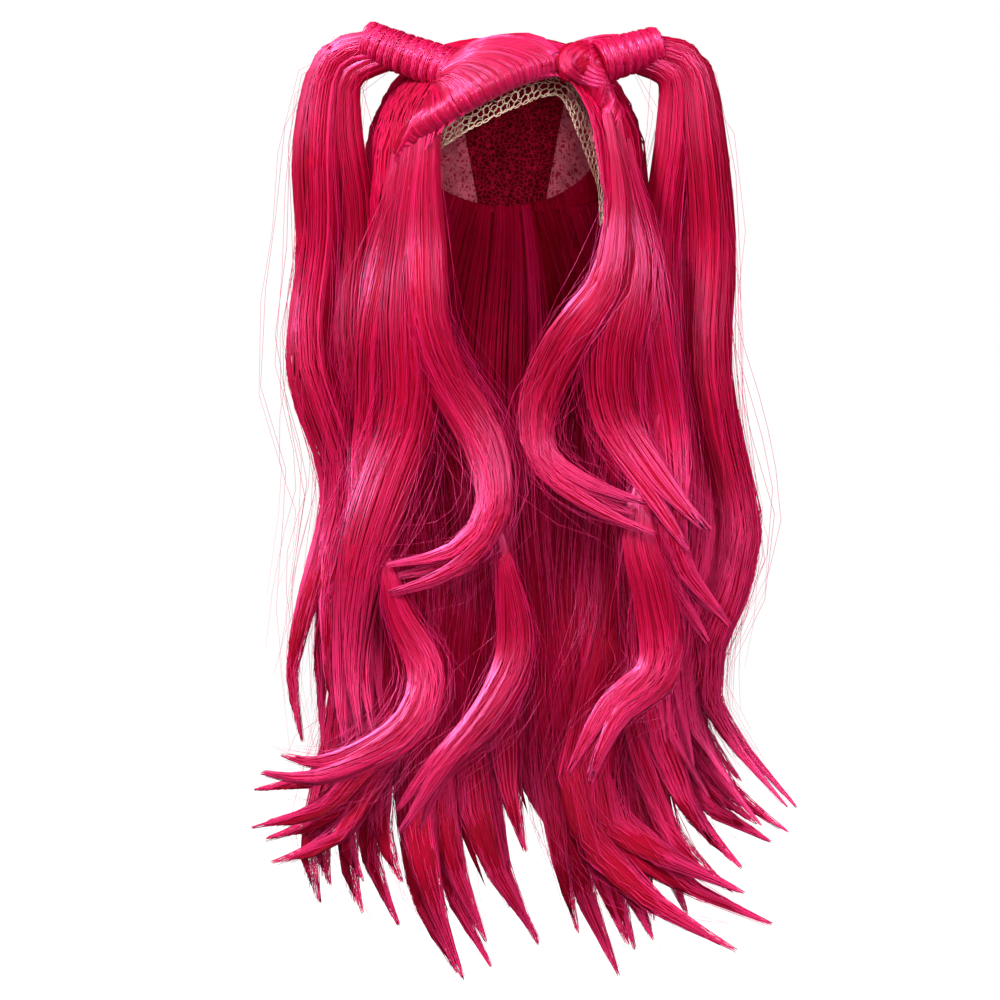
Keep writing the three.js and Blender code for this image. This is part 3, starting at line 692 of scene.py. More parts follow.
def lockForm(row, shape):
    root = np.array(row["root"]) + row.get("tuck", (0, 0, 0))  # the visible hair starts inside what holds it
    line = smoothLine([root, *row["bends"], row["tip"]], samples)
    at = np.linspace(0, 1, samples)
    wave = np.sin(line[:, 2] / shape["swayLength"] * 2 * math.pi + shape["swayFrom"] + row["sway"])
    line[:, 1] += shape["sway"] * smoothStep(at * 4) * wave
    rootShare, fullAt = row.get("starts", (shape["rootShare"], shape["fullAt"]))
    rooted = rootShare + (1 - rootShare) * smoothStep(at / fullAt)
    late = smoothStep((at - shape["thinFrom"]) / (1 - shape["thinFrom"]))
    run, across, behind = lineFrame(line)
    made = dict(line=line, across=across, behind=behind, length=lineLength(line))
    for side in ("wide", "deep"):
        made[side] = row[side] / 2 * rooted * (1 - (1 - lockTip) * late)
        made[side + "Loose"] = row[side] / 2 * rooted * (1 - (1 - looseTip) * late)  # before it parts into wisps
    return made


# points of a lock: so far along it, sideways and backward from its line
def onLock(lock, share, sideways, backward):
    return (pick(lock["line"], share) + pick(lock["across"], share) * sideways[..., None]
            + pick(lock["behind"], share) * backward[..., None])


# ridges round a lock: how proud each angle stands, from -1 to 1, and how fast that changes
def ribRelief(row, angle):
    waves = list(zip(ribs["counts"], ribs["weights"], row["ribs"]))
    proud = sum(weight * np.cos(count * angle + phase) for count, weight, phase in waves)
    slope = sum(-weight * count * np.sin(count * angle + phase) for count, weight, phase in waves)
    return proud, slope


def gathered(share, look, end):
    late = (share - look["gatherFrom"]) / (end - look["gatherFrom"])
    return look["gather"] * np.clip(late, 0, 1) ** look["pointed"]


# the wisps a lock ends in: where round it each begins, how far it reaches and how it leaves the others
def partWisps(row, look):
    n = look["clumps"]
    row["ends"] = rng.uniform(look["shortest"], 1, n)
    row["push"] = rng.uniform(*look["push"], n)
    row["phase"] = rng.uniform(0, 2 * math.pi, n)
    row["tone"] = rng.normal(0, look["tone"], n)
    row["middles"] = (np.arange(n) + rng.uniform(*look["apart"], n)) / n * 2 * math.pi


# middle of a wisp, sideways and backward from the line of its lock
def wispMiddle(row, lock, look, wisp, share):
    middle = row["middles"][wisp] + row["twist"] * share
    swing = look["wave"] * smoothStep(share * 3) * np.sin(
        share * lock["length"] / look["waveLength"] * 2 * math.pi + row["phase"][wisp])
    flare = look["flare"] * row["push"][wisp] * smoothStep((share - look["flareFrom"]) / (1 - look["flareFrom"]))
    held = gathered(share, look, row["ends"][wisp]) * look["clumpReach"]
    sideways = (pick(lock["wideLoose"], share) * held + flare) * np.cos(middle) + swing
    backward = (pick(lock["deepLoose"], share) * held + look["backward"] * flare) * np.sin(middle)
    return sideways, backward + look["backward"] * swing


# strands of one lock: side by side round it, then gathered in wisps that end in points
def lockStrands(store, row, shape, look):
    lock = lockForm(row, shape)
    n, k, clumps = look["strands"], look["steps"] + 1, look["clumps"]
    angle = rng.uniform(0, 2 * math.pi, n)
    wisp = np.floor(angle / (2 * math.pi) * clumps + rng.normal(0, look["mixed"], n)).astype(int) % clumps
    proud, slope = ribRelief(row, angle)
    inner = np.where(rng.uniform(0, 1, n) < look["filling"], look["deepest"], look["inner"])
    reach = ((1 - look["ribDepth"] * (0.5 - 0.5 * proud)) * rng.uniform(inner, 1))[:, None]
    steep = 0.5 * look["ribDepth"] * slope[:, None]
    start = rng.uniform(0, look["rootUneven"], n)
    end = row["ends"][wisp] * (1 - rng.exponential(look["fray"], n).clip(0, look["frayMost"]))
    share = start[:, None] + (end - start)[:, None] * np.linspace(0, 1, k) ** look["crowd"]
    held = gathered(share, look, row["ends"][wisp][:, None])
    fromMiddle = (angle - row["middles"][wisp] + math.pi) % (2 * math.pi) - math.pi
    spread = 1 + (clumps - 1) * smoothStep(held * look["spreadRate"])  # from a side of the lock to all round the wisp
    turned = row["middles"][wisp][:, None] + fromMiddle[:, None] * spread + row["twist"] * share
    x, y = reach * np.cos(turned), reach * np.sin(turned)
    stray = rng.normal(0, look["stray"], (n, 1)) * np.sin(math.pi * share * rng.uniform(*look["strayWaves"], (n, 1)))
    sideways, backward = wispMiddle(row, lock, look, wisp[:, None], share)
    sideways = sideways + pick(lock["wideLoose"], share) * x * (1 - held) + stray
    backward = backward + pick(lock["deepLoose"], share) * y * (1 - held) + look["backward"] * stray
    across, behind = pick(lock["across"], share), pick(lock["behind"], share)
    paths = onLock(lock, share, sideways, backward)
    faceX, faceY = x + steep * np.sin(turned), y - steep * np.cos(turned)
    facing = unit(across * (faceX / row["wide"])[..., None] + behind * (faceY / row["deep"])[..., None])
    # strands in the grooves between a lock's ribs are darker and proud ones lighter: painted shade; the wisp tone
    # added to it is random
    shade = strandShades(look, look["ribShade"] * proud + row["tone"][wisp])
    addTubes(store, paths, taper(n, k, look["thick"]), shade, facing=facing * look["faceShare"])


# the hair inside a wisp
def wispCore(bm, row, shape, look, wisp):
    lock = lockForm(row, shape)

    def place(u, v):
        angle = u * 2 * math.pi
        share = look["gatherFrom"] + (row["ends"][wisp] * look["wispEnd"] - look["gatherFrom"]) * v
        size = look["wispCore"] * (1 - gathered(share, look, row["ends"][wisp]))
        size = size * np.minimum(1, v * look["wispOpen"]) * (v < 1)
        sideways, backward = wispMiddle(row, lock, look, wisp, share)
        sideways = sideways + pick(lock["wideLoose"], share) * size * np.cos(angle)
        backward = backward + pick(lock["deepLoose"], share) * size * np.sin(angle)
        return onLock(lock, share, sideways, backward)

    bentGrid(bm, look["wispSides"], look["wispRows"], place)


# the body of hair inside a lock, ridged as its strands are
def lockCore(bm, row, shape, look):
    lock = lockForm(row, shape)

    def place(u, v):
        angle = u * 2 * math.pi
        share = v ** look["crowd"] * look["coreEnd"]
        closed = np.minimum(1, v * look["coreRows"]) * (1 - v ** 5)
        proud, _ = ribRelief(row, angle - row["twist"] * share)
        size = look["core"] * closed * (1 - look["ribDepth"] * (0.5 - 0.5 * proud)) * (1 - gathered(share, look, 1))
        wide, deep = pick(lock["wide"], share) * size, pick(lock["deep"], share) * size
        return onLock(lock, share, wide * np.cos(angle), deep * np.sin(angle))

    bentGrid(bm, look["coreSides"], look["coreRows"], place)


def lockPieces(name, rows, shape, look, node):
    bm = newBmesh()
    store = newStore()
    for row in rows:
        row["ribs"] = rng.uniform(0, 2 * math.pi, len(ribs["counts"]))
        row["twist"] = rng.normal(0, look["twist"])
        row["sway"] = rng.normal(0, look["swayUneven"])
        partWisps(row, look)
        lockCore(bm, row, shape, look)
        for wisp in range(look["clumps"]):
            wispCore(bm, row, shape, look, wisp)
        lockStrands(store, row, shape, look)
    closeMesh(bm, name + "_body", hairUnder, [node])
    tubePiece(store, name + "_strands", look["hair"], [node])


print("hanging hair")
ribs = dict(counts=(3, 7, 12), weights=(0.35, 0.35, 0.3))
lockLook = dict(core=0.9, coreEnd=0.9, coreSides=30, coreRows=20, wispCore=0.8, wispSides=10, wispRows=11,
                wispOpen=8, wispEnd=0.98, clumps=3, pointed=1.35, clumpReach=0.85, push=(0.4, 1.4), apart=(0.3, 0.7),
                mixed=0.12, spreadRate=1.6, flareFrom=0.66, backward=0.4, twist=0.5, swayUneven=0.25, ribDepth=0.16,
                ribShade=0.17, tone=0.08, strandTone=0.12, inner=0.88, filling=0.1, deepest=0.3, rootUneven=0.015,
                frayMost=0.2, strayWaves=(0.8, 2.5), faceShare=1.4)
# the back hair has a low base shade and the duller copy of the hair: painted shade for hair lying behind the front
# locks
backLook = dict(hair=hairDimmed, strands=220, steps=11, thick=1.0, crowd=1.0, gather=0.95, gatherFrom=0.58,
                shortest=0.94, flare=12, fray=0.02, wave=2.2, waveLength=170, stray=0.8, shade=0.25, **lockLook)
bunchLook = dict(hair=hairStrands, strands=240, steps=20, thick=1.0, crowd=1.6, gather=0.95, gatherFrom=0.58,
                 shortest=0.92, flare=10, fray=0.02, wave=1.8, waveLength=190, stray=0.6, shade=0.27, **lockLook)
frontLook = dict(hair=hairStrands, strands=200, steps=16, thick=0.95, crowd=1.0, gather=0.82, gatherFrom=0.62,
                 shortest=0.93, flare=5, fray=0.045, wave=1.5, waveLength=160, stray=0.7, shade=0.38, **lockLook)
for rows, tuck in ((backLocks, (0, 2, 14)), (bunchLeft, (16, -4, -5)), (bunchRight, (-16, -4, -5)),
                   (frontLeft[:3], (2, 5, 9)), (frontRight[:3], (-3, -2, 8))):
    for row in rows:
        row["tuck"] = tuck
for row in frontRight[:3]:  # these come narrow out of the twist
    row["starts"] = (0.25, 0.4)
for row, tuck in ((frontLeft[3], (0, 3, 0)), (frontLeft[4], (0, 4, 4)), (frontRight[3], (0, 3, 4))):
    row["starts"] = (0.08, 0.5)  # these come pointed from between the locks behind them
    row["tuck"] = tuck
lockPieces("back_hair_left", backLocks[:7], backShape, backLook, "back_hair")
lockPieces("back_hair_right", backLocks[7:], backShape, backLook, "back_hair")
lockPieces("bunch_hair_left", bunchLeft, bunchShape, bunchLook, "bunch_left")
lockPieces("bunch_hair_right", bunchRight, bunchShape, bunchLook, "bunch_right")
lockPieces("front_hair_left", frontLeft, frontShape, frontLook, "front_locks_left")
lockPieces("front_hair_right", frontRight, frontShape, frontLook, "front_locks_right")

# hair at the nape, seen from the front below the cap
print("nape")
# the nape hair has a low base shade and the duller copy of the hair: painted shade for hair in the shadow under the
# crown
napeLook = dict(strands=560, steps=9, thick=1.2, turn=(20, 160), tufts=15, fall=(190, 330), fan=0.55, forward=17,
                forwardRate=2.2, wave=9, waveRate=4, stray=1.2, bow=20, bowFrom=30, gather=3, rootOff=0.6,
                rootIn=0.01, cord=1.3, cordOff=0.4, shade=0.34, tuftTone=0.12, strandTone=0.12)


def napeHair(look):
    around = np.radians(np.linspace(*look["turn"], fine // 2 + 1))
    rim = shareLimit(around, plain(0), offCap)
    n, k = look["strands"], look["steps"] + 1
    at = rng.uniform(0, look["tufts"], n)
    tuft = at.astype(int)
    inTuft = (2 * (at - tuft) - 1)[:, None]
    angle = np.radians(np.interp(at, (0, look["tufts"]), look["turn"]))
    root = formPoint(angle, np.interp(angle, around, rim) - look["rootIn"], look["rootOff"])
    t = np.linspace(0, 1, k)
    phase = rng.uniform(0, 2 * math.pi, look["tufts"])[tuft, None]
    sway = look["wave"] * np.sin(look["waveRate"] * t + phase) * t ** 0.8 + rng.normal(0, look["stray"], (n, 1)) * t
    bow = look["bow"] * np.clip(root[:, :1] / look["bowFrom"], -1, 1) * np.sin(math.pi * np.minimum(t * 1.2, 1))
    x = root[:, :1] * (1 + look["fan"] * t) + bow + sway - look["gather"] * inTuft * t
    y = root[:, 1:2] - look["forward"] * np.sin(look["forwardRate"] * t)
    y = y + look["gather"] * inTuft ** 2 * smoothStep(t * 4)
    z = root[:, 2:] - rng.uniform(*look["fall"], (n, 1)) * t
    paths = np.stack([x, y, z], -1)
    facing = unit(np.stack(np.broadcast_arrays(1.1 * inTuft, -1.0, 0.5 * np.cos(look["forwardRate"] * t)), -1))
    shade = strandShades(look, rng.normal(0, look["tuftTone"], look["tufts"])[tuft])
    store = newStore()
    addTubes(store, paths, taper(n, k, look["thick"]), shade, facing=facing)
    edge = formPoint(around[::6], rim[::6], look["cordOff"])[None]
    addTubes(store, edge, look["cord"] / 2, (0.0,), (0.0, 0.0, 1.0))
    tubePiece(store, "nape_strands", hairDimmed, ["back_hair"])


napeHair(napeLook)

# hair combed over the cap from a middle parting
print("crown")
crownLook = dict(columns=180, rows=45, bodyRidge=0.8, sharp=50, strands=1200, steps=12, thick=1.2, thinFrom=0.6,
                 parting=0.55, tufts=70, gather=0.35, bow=0.02, lift=1.5, uneven=(-0.8, 0.6), ridge=0.4,
                 hang=(30, 170), sink=4, shade=0.42, tuftTone=0.12, strandTone=0.12)


# a block as deep as the face opening, to cut it out of the hair
def faceBlock():
    bm = bmesh.new()
    front = [bm.verts.new((x * mm, -far * mm, z * mm)) for x, z in faceOutline(1.0, 60)]
    made = bmesh.ops.extrude_face_region(bm, geom=[bm.faces.new(front)])
    moved = [v for v in made["geom"] if isinstance(v, bmesh.types.BMVert)]
    bmesh.ops.translate(bm, verts=moved, vec=(0, (far + faceBack) * mm, 0))
    bmesh.ops.recalc_face_normals(bm, faces=bm.faces)
    mesh = bpy.data.meshes.new("faceBlock")
    bm.to_mesh(mesh)
    bm.free()
    return mesh


def cutOut(mesh, cutter):
    whole, taken = bpy.data.objects.new("whole", mesh), bpy.data.objects.new("taken", cutter)
    for piece in (whole, taken):
        scene.collection.objects.link(piece)
    cut = whole.modifiers.new("cut", "BOOLEAN")
    cut.object = taken
    cut.operation = "DIFFERENCE"
    cut.solver = "EXACT"
    made = bpy.data.meshes.new_from_object(whole.evaluated_get(bpy.context.evaluated_depsgraph_get()))
    for piece in (whole, taken):
        bpy.data.objects.remove(piece)
    return made


def crownShell(look):
    around = np.linspace(0, 2 * math.pi, fine)
    outer = shareLimit(around, crownOff, offHair)
    inner = shareLimit(around, plain(capWall + gap), offHair)
    bm = newBmesh()

    def place(u, v):
        angle = u * 2 * math.pi
        down, inside = shellRows(v, look["rows"])
        high, low = np.interp(angle, around, outer) * down, np.interp(angle, around, inner) * down
        ridge = look["bodyRidge"] * (np.cos(angle * crown["ridges"]) * smoothStep(high * 2) - 1)
        return np.where(inside, formPoint(angle, low, capWall + gap),
                        formPoint(angle, high, crownOff(angle, high) + ridge))

    bentGrid(bm, look["columns"], look["rows"], place)
    made = cutOut(closedMesh(bm, "crown_body"), faceBlock())
    made.name = "crown_body_cut"
    made.set_sharp_from_angle(angle=math.radians(look["sharp"]))
    addPiece("crown_body", made, hairUnder, ["crown_hair"])


def crownStrands(look):
    n = look["strands"]
    turn = rng.uniform(0, 2 * math.pi, n)
    tuft = np.round(turn / (2 * math.pi) * look["tufts"])
    turn += look["gather"] * (tuft / look["tufts"] * 2 * math.pi - turn)
    t = np.linspace(0, 3, 301)  # to 1 over the dome, then straight down
    down = np.minimum(t, 1)
    bow = rng.normal(0, look["bow"], n)[:, None] * np.sin(math.pi * down)
    flatX = np.cos(turn)[:, None] * down + bow
    flatY = np.sin(turn)[:, None] * (look["parting"] + (1 - look["parting"]) * down) + bow
    reach = np.minimum(np.hypot(flatX, flatY), 1)
    share = np.arcsin(reach ** (form["squareness"] / 2)) / (math.pi / 2) + np.maximum(t - 1, 0)
    angle = np.arctan2(flatY, flatX)
    lift = look["lift"] + rng.uniform(*look["uneven"], (n, 1)) + look["ridge"] * np.cos(angle * crown["ridges"])
    lift = lift - look["sink"] * np.maximum(t - 1, 0)
    points = formPoint(angle, share, crownOff(angle, share) + lift)
    fallen = points[..., 2] < hairRimZ(points[..., 1]) - rng.uniform(*look["hang"], (n, 1))
    stopped = (fallen | inFace(points, 1.0)) & (t > 0.1)
    stopped[:, -1] = True
    end = t[stopped.argmax(1)] / t[-1]
    steps = np.linspace(0, 1, look["steps"] + 1)
    at = end[:, None] * steps * (len(t) - 1)
    low = np.minimum(at.astype(int), len(t) - 2)
    part = (at - low)[..., None]
    row = np.arange(n)[:, None]
    paths = points[row, low] * (1 - part) + points[row, low + 1] * part
    store = newStore()
    shade = strandShades(look, rng.normal(0, look["tuftTone"], look["tufts"] + 1)[tuft.astype(int)])
    outward = unit(paths - np.array((0.0, 0.0, -form["height"])))
    addTubes(store, paths, taper(n, look["steps"] + 1, look["thick"], look["thinFrom"]), shade, outward, outward)
    tubePiece(store, "crown_strands", hairDimmed, ["crown_hair"])


crownShell(crownLook)
crownStrands(crownLook)

# fringe swept over and rolled under, and the knot and twist right of the parting: x, z, radius
print("fringe")
rollRows = np.array([(37, -5, 10), (9, -12, 11), (-16, -24, 11), (-46, -42, 10), (-69, -58, 9), (-80, -77, 7)], float)
sweepRows = np.array([(-44, -16, 9), (-22, -4, 14), (2, 1, 15), (22, 1, 15), (36, -8, 11)], float)
twistRows = np.array([(43, -12, 9, 8), (56, -5, 17, 16), (68, -22, 13, 8), (76, -38, 9, 0), (79, -46, 9, 0),
                      (82, -58, 6, 0)], float)  # the last column is how far it stands forward
rollProud = 0.35
frontLift = 0.6


def barOf(points, radii):
    line = smoothLine(points, samples)
    run, across, behind = lineFrame(line)
    radius = np.interp(np.linspace(0, 1, samples), np.linspace(0, 1, len(radii)), radii)
    return dict(line=line, run=run, across=across, behind=behind, radius=radius, length=lineLength(line))


# a bar of hair lying on the crown
def barForm(rows):
    y = frontOf(rows[:, 0], rows[:, 1]) - rows[:, 2] * rollProud - rows[:, 3:].sum(1)
    return barOf(np.stack([rows[:, 0], y, rows[:, 1]], 1), rows[:, 2])


def onBar(bar, share, angle, size):
    out = np.cos(angle)[..., None] * pick(bar["across"], share)
    out = out + np.sin(angle)[..., None] * pick(bar["behind"], share)
    return pick(bar["line"], share) + out * (pick(bar["radius"], share) * size)[..., None]


barGrid = dict(sides=30, rows=44, lobe=0.05, rounded=0.06)


# the hair inside a bar, lobed and rounded at its ends
def barCore(bm, bar, size, lobes, turns):
    def place(u, v):
        toEnd = np.clip(np.minimum(v, 1 - v) / barGrid["rounded"], 0, 1)
        closed = np.sqrt(1 - (1 - toEnd) ** 2)
        angle = u * 2 * math.pi
        lobed = 1 + barGrid["lobe"] * np.cos(lobes * angle + turns * 2 * math.pi * v)
        return onBar(bar, v, angle, size * closed * lobed)

    bentGrid(bm, barGrid["sides"], barGrid["rows"], place)


roll, sweep, twist = barForm(rollRows), barForm(sweepRows), barForm(twistRows)
fringeLook = dict(body=0.95, strands=620, steps=12, thick=1.0, size=1.03, ridges=19, relief=0.04, uneven=0.02,
                  under=(250, 390), underSteps=6, topFrom=(-37, 2), topTo=(-60, -36), topUneven=1.5, arch=14,
                  leadSteps=8, drawn=40, eased=4, alongSweep=140, sweepTurn=(-70, 120), sweepUneven=0.03,
                  sweepAlong=(0.02, 0.97), sweepShade=(0.4, 0.12), lift=0.8, ridgeLift=0.4, lean=0.8, shade=0.36,
                  ridgeShade=0.16, strandTone=0.13)
knotLook = dict(body=0.95, strands=230, steps=11, thick=0.9, back=-46, middle=(82, -4), reach=(9, 42), squash=0.5,
                turn=(86, 262), turnUneven=0.08, ridgeRate=1.1, ridge=0.6, lift=0.8, twistStrands=220,
                twistSteps=12, twistTurns=1.6, twistLobes=3, twistRelief=0.07, twistFrom=(0.25, 0.6),
                twistLong=(0.3, 0.5), twistUneven=(-0.02, 0.04), shade=0.38, ridgeShade=0.16, strandTone=0.12)
thinLate = 0.85  # wound strands keep their thickness longer


# y of the hair in front at x, z: the crown with the given bars on it
def barFront(x, z, bars):
    y = frontOf(x, z) - frontLift
    for bar in bars:
        away = np.hypot(x[..., None] - bar["line"][:, 0], z[..., None] - bar["line"][:, 2])
        near = away.argmin(-1)
        distance, radius = away.min(-1), bar["radius"][near] + frontLift
        proud = bar["line"][near, 1] - np.sqrt(np.maximum(radius ** 2 - distance ** 2, 0))
        y = np.where(distance < radius, np.minimum(y, proud), y)
    return y


# points and outward directions of that surface
def onFront(x, z, bars):
    y = barFront(x, z, bars)
    tiltX = (barFront(x + 1, z, bars) - barFront(x - 1, z, bars)) / 2
    tiltZ = (barFront(x, z + 1, bars) - barFront(x, z - 1, bars)) / 2
    return np.stack([x, y, z], -1), unit(np.stack([tiltX.clip(-2, 2), -np.ones(x.shape), tiltZ.clip(-2, 2)], -1))


def fringe(look):
    bm = newBmesh()
    barCore(bm, roll, look["body"], 5, 2)
    barCore(bm, sweep, look["body"], 6, 1)
    closeMesh(bm, "fringe_body", hairUnder, ["front_roll"])
    store = newStore()
    n, k = look["strands"], look["steps"] + 1
    p = np.sort(rng.uniform(0, 1, n))
    waves = ((look["ridges"] * 2 * math.pi, 0.6, 0), (look["ridges"] * 3.4 * math.pi, 0.4, 1))
    ridge = sum(weight * np.cos(rate * p + phase) for rate, weight, phase in waves)
    slope = sum(-weight * rate * np.sin(rate * p + phase) for rate, weight, phase in waves)
    size = (look["size"] + look["relief"] * ridge + rng.uniform(-look["uneven"], look["uneven"], n))[:, None]

    # round the underside of the roll
    count = look["underSteps"]
    under = np.broadcast_to(np.radians(np.linspace(*look["under"], count)), (n, count))
    at = np.repeat(p[:, None], count, 1)
    rolled = onBar(roll, at, under, size)
    steep = pick(roll["radius"], p) * look["relief"] * slope / roll["length"]
    lean = pick(roll["run"], at) * steep[:, None, None]
    rolledTo = unit(unit(rolled - pick(roll["line"], at)) - lean)

    # from the parting over the sweep to the roll, drawn tight over the hollows
    start = np.array(look["topFrom"]) + (np.array(look["topTo"]) - look["topFrom"]) * p[:, None] ** 0.8
    start = start + rng.normal(0, look["topUneven"], (n, 2))
    stop = rolled[:, 0, ::2]
    bend = (start + stop) / 2 + np.stack([np.zeros(n), look["arch"] * (1 - p) ** 1.2], 1) * 2
    t = np.linspace(0, 1, look["leadSteps"] + 1)[:-1, None]
    flat = start[:, None] * (1 - t) ** 2 + 2 * bend[:, None] * t * (1 - t) + stop[:, None] * t ** 2
    lead, leadTo = onFront(flat[..., 0], flat[..., 1], (sweep, roll))
    taut = np.concatenate([lead[..., 1], rolled[:, :1, 1]], 1)
    turnTo = np.concatenate([leadTo, rolledTo[:, :1]], 1)
    for _ in range(look["drawn"]):
        taut[:, 1:-1] = np.minimum(taut[:, 1:-1], (taut[:, :-2] + taut[:, 2:]) / 2)
    for _ in range(look["eased"]):
        turnTo[:, 1:-1] = (turnTo[:, :-2] + turnTo[:, 1:-1] + turnTo[:, 2:]) / 3
    lead[..., 1] = taut[:, :-1] - rng.uniform(0, look["lift"], (n, 1)) - look["ridgeLift"] * ridge[:, None]
    leadTo = unit(turnTo[:, :-1] - lean[:, :1] * look["lean"])
    routes = np.concatenate([np.concatenate([lead, leadTo], -1), np.concatenate([rolled, rolledTo], -1)], 1)
    routes = np.stack([smoothLine(route, k) for route in routes])
    # strands on the ridges of the roll are lighter and those in its hollows darker: painted shade
    shade = strandShades(look, look["ridgeShade"] * ridge)
    addTubes(store, routes[..., :3], taper(n, k, look["thick"], thinLate), shade, pick(roll["run"], p)[:, None],
             unit(routes[..., 3:]))

    # along the sweep, under the others
    m = look["alongSweep"]
    share = np.linspace(*look["sweepAlong"], k)[None].repeat(m, 0)
    angle = np.radians(rng.uniform(*look["sweepTurn"], (m, 1))) + 0.25 * np.sin(share * 3 + rng.uniform(0, 6, (m, 1)))
    paths = onBar(sweep, share, angle, 1 + rng.uniform(-look["sweepUneven"], look["sweepUneven"], (m, 1)))
    addTubes(store, paths, taper(m, k, look["thick"], thinLate), rng.normal(*look["sweepShade"], m).clip(0, 1),
             facing=unit(paths - pick(sweep["line"], share)))
    tubePiece(store, "fringe_strands", hairStrands, ["front_roll"])


def knotAndTwist(look):
    bm = newBmesh()
    barCore(bm, twist, look["body"], look["twistLobes"], look["twistTurns"])
    closeMesh(bm, "twist_body", hairUnder, ["right_twist"])
    store = newStore()
    n, k = look["strands"], look["steps"] + 1
    reach = rng.uniform(*look["reach"], (n, 1))
    turn = np.radians(np.linspace(*look["turn"], k)) + rng.normal(0, look["turnUneven"], (n, 1))
    x = look["middle"][0] + reach * np.cos(turn)
    z = look["middle"][1] + reach * look["squash"] * np.sin(turn)
    paths, facing = onFront(x, z, (twist,))
    paths[..., 1] = np.minimum(paths[..., 1], look["back"])
    ridge = np.cos(reach * look["ridgeRate"])
    paths[..., 1] -= rng.uniform(0, look["lift"], (n, 1)) + look["ridge"] * ridge
    # strands on the knot's ridges are lighter and those between them darker: painted shade
    shade = strandShades(look, look["ridgeShade"] * ridge[:, 0])
    addTubes(store, paths, taper(n, k, look["thick"], thinLate), shade, facing=facing)

    n, k = look["twistStrands"], look["twistSteps"] + 1
    start = rng.uniform(*look["twistFrom"], n)
    stop = np.minimum(start + rng.uniform(*look["twistLong"], n), 1)
    share = start[:, None] + (stop - start)[:, None] * np.linspace(0, 1, k)
    first = rng.uniform(0, 2 * math.pi, n)[:, None]
    angle = first - share * look["twistTurns"] * 2 * math.pi
    lobe = np.cos(look["twistLobes"] * first)
    size = 1.0 + look["twistRelief"] * lobe + rng.uniform(*look["twistUneven"], (n, 1))
    paths = onBar(twist, share, angle, size)
    # strands on the twist's lobes are lighter and those between them darker: painted shade
    shade = strandShades(look, look["ridgeShade"] * lobe[:, 0])
    facing = unit(paths - pick(twist["line"], share))
    addTubes(store, paths, taper(n, k, look["thick"], thinLate), shade, facing=facing)
    tubePiece(store, "twist_strands", hairStrands, ["right_twist"])


fringe(fringeLook)
knotAndTwist(knotLook)

# bunch bases wound round with hair
print("wraps")
wrapLook = dict(body=0.94, strands=340, steps=11, thick=1.0, thinFrom=0.9, turn=(0.6, 1.0), drift=0.05, uneven=0.006,
                relief=0.045, sizeUneven=0.02, shade=0.4, ridgeShade=0.16, strandTone=0.12, seamThick=0.9,
                seamSteps=61, seamSize=1.065, seamWave=0.09, along=(0.01, 0.97), seamAlong=(0.03, 0.95))
wraps = dict(
    left=dict(start=(-38, -60, -11), end=(-104, -34, 12), radii=(16, 15, 15), coils=10, seams=(-2.2, -1.75)),
    right=dict(start=(69, -54, -5), end=(115, -34, 9), radii=(16, 15, 14), coils=7, seams=(1.0, 1.45)),
)


def wrapHair(side, row, look):
    bar = barOf([row["start"], row["end"]], row["radii"])
    run = bar["run"][0]
    bm = newBmesh()
    barCore(bm, bar, look["body"], 1, 0)
    closeMesh(bm, "wrap_body_" + side, hairUnder, ["wrap_" + side])
    store = newStore()
    n, k = look["strands"], look["steps"] + 1
    t = np.linspace(0, 1, k)
    at = rng.uniform(*look["along"], n)
    coils = row["coils"] * 2 * math.pi
    phase = at * coils + 0.5 * np.sin(at * 9)
    coil = np.cos(phase)
    angle = rng.uniform(0, 2 * math.pi, (n, 1)) + rng.uniform(*look["turn"], (n, 1)) * 2 * math.pi * t
    along = (at[:, None] + look["drift"] * (t - 0.5) + rng.normal(0, look["uneven"], (n, 1))).clip(0, 1)
    size = 1.0 - look["relief"] * coil[:, None] + rng.uniform(-look["sizeUneven"], look["sizeUneven"], (n, 1))
    paths = onBar(bar, along, angle, size)
    # strands in the grooves between the coils are darker and those on the coils lighter: painted shade
    shade = strandShades(look, -look["ridgeShade"] * coil)
    steep = bar["radius"][0] * look["relief"] * coils / bar["length"] * np.sin(phase)
    facing = unit(unit(paths - pick(bar["line"], along)) - run * steep[:, None, None])
    addTubes(store, paths, taper(n, k, look["thick"], look["thinFrom"]), shade, run, facing)
    t = np.linspace(*look["seamAlong"], look["seamSteps"])
    size = np.full(look["seamSteps"], look["seamSize"])
    seams = [onBar(bar, t, seam + look["seamWave"] * np.sin(t * coils), size) for seam in row["seams"]]
    addTubes(store, np.stack(seams), look["seamThick"] / 2, (1.0, 1.0), (0.0, 1.0, 0.3))
    tubePiece(store, "wrap_strands_" + side, hairStrands, ["wrap_" + side])


for side, row in wraps.items():
    wrapHair(side, row, wrapLook)

# loose hairs standing off the outline
print("loose hair")
looseLook = dict(perLock=48, steps=8, thick=0.36, start=(0, 0.5), stop=(0.7, 1.0), out=(0.95, 1.55), drift=12, bow=6,
                 bowRate=(3, 9), shade=(0.5, 1))


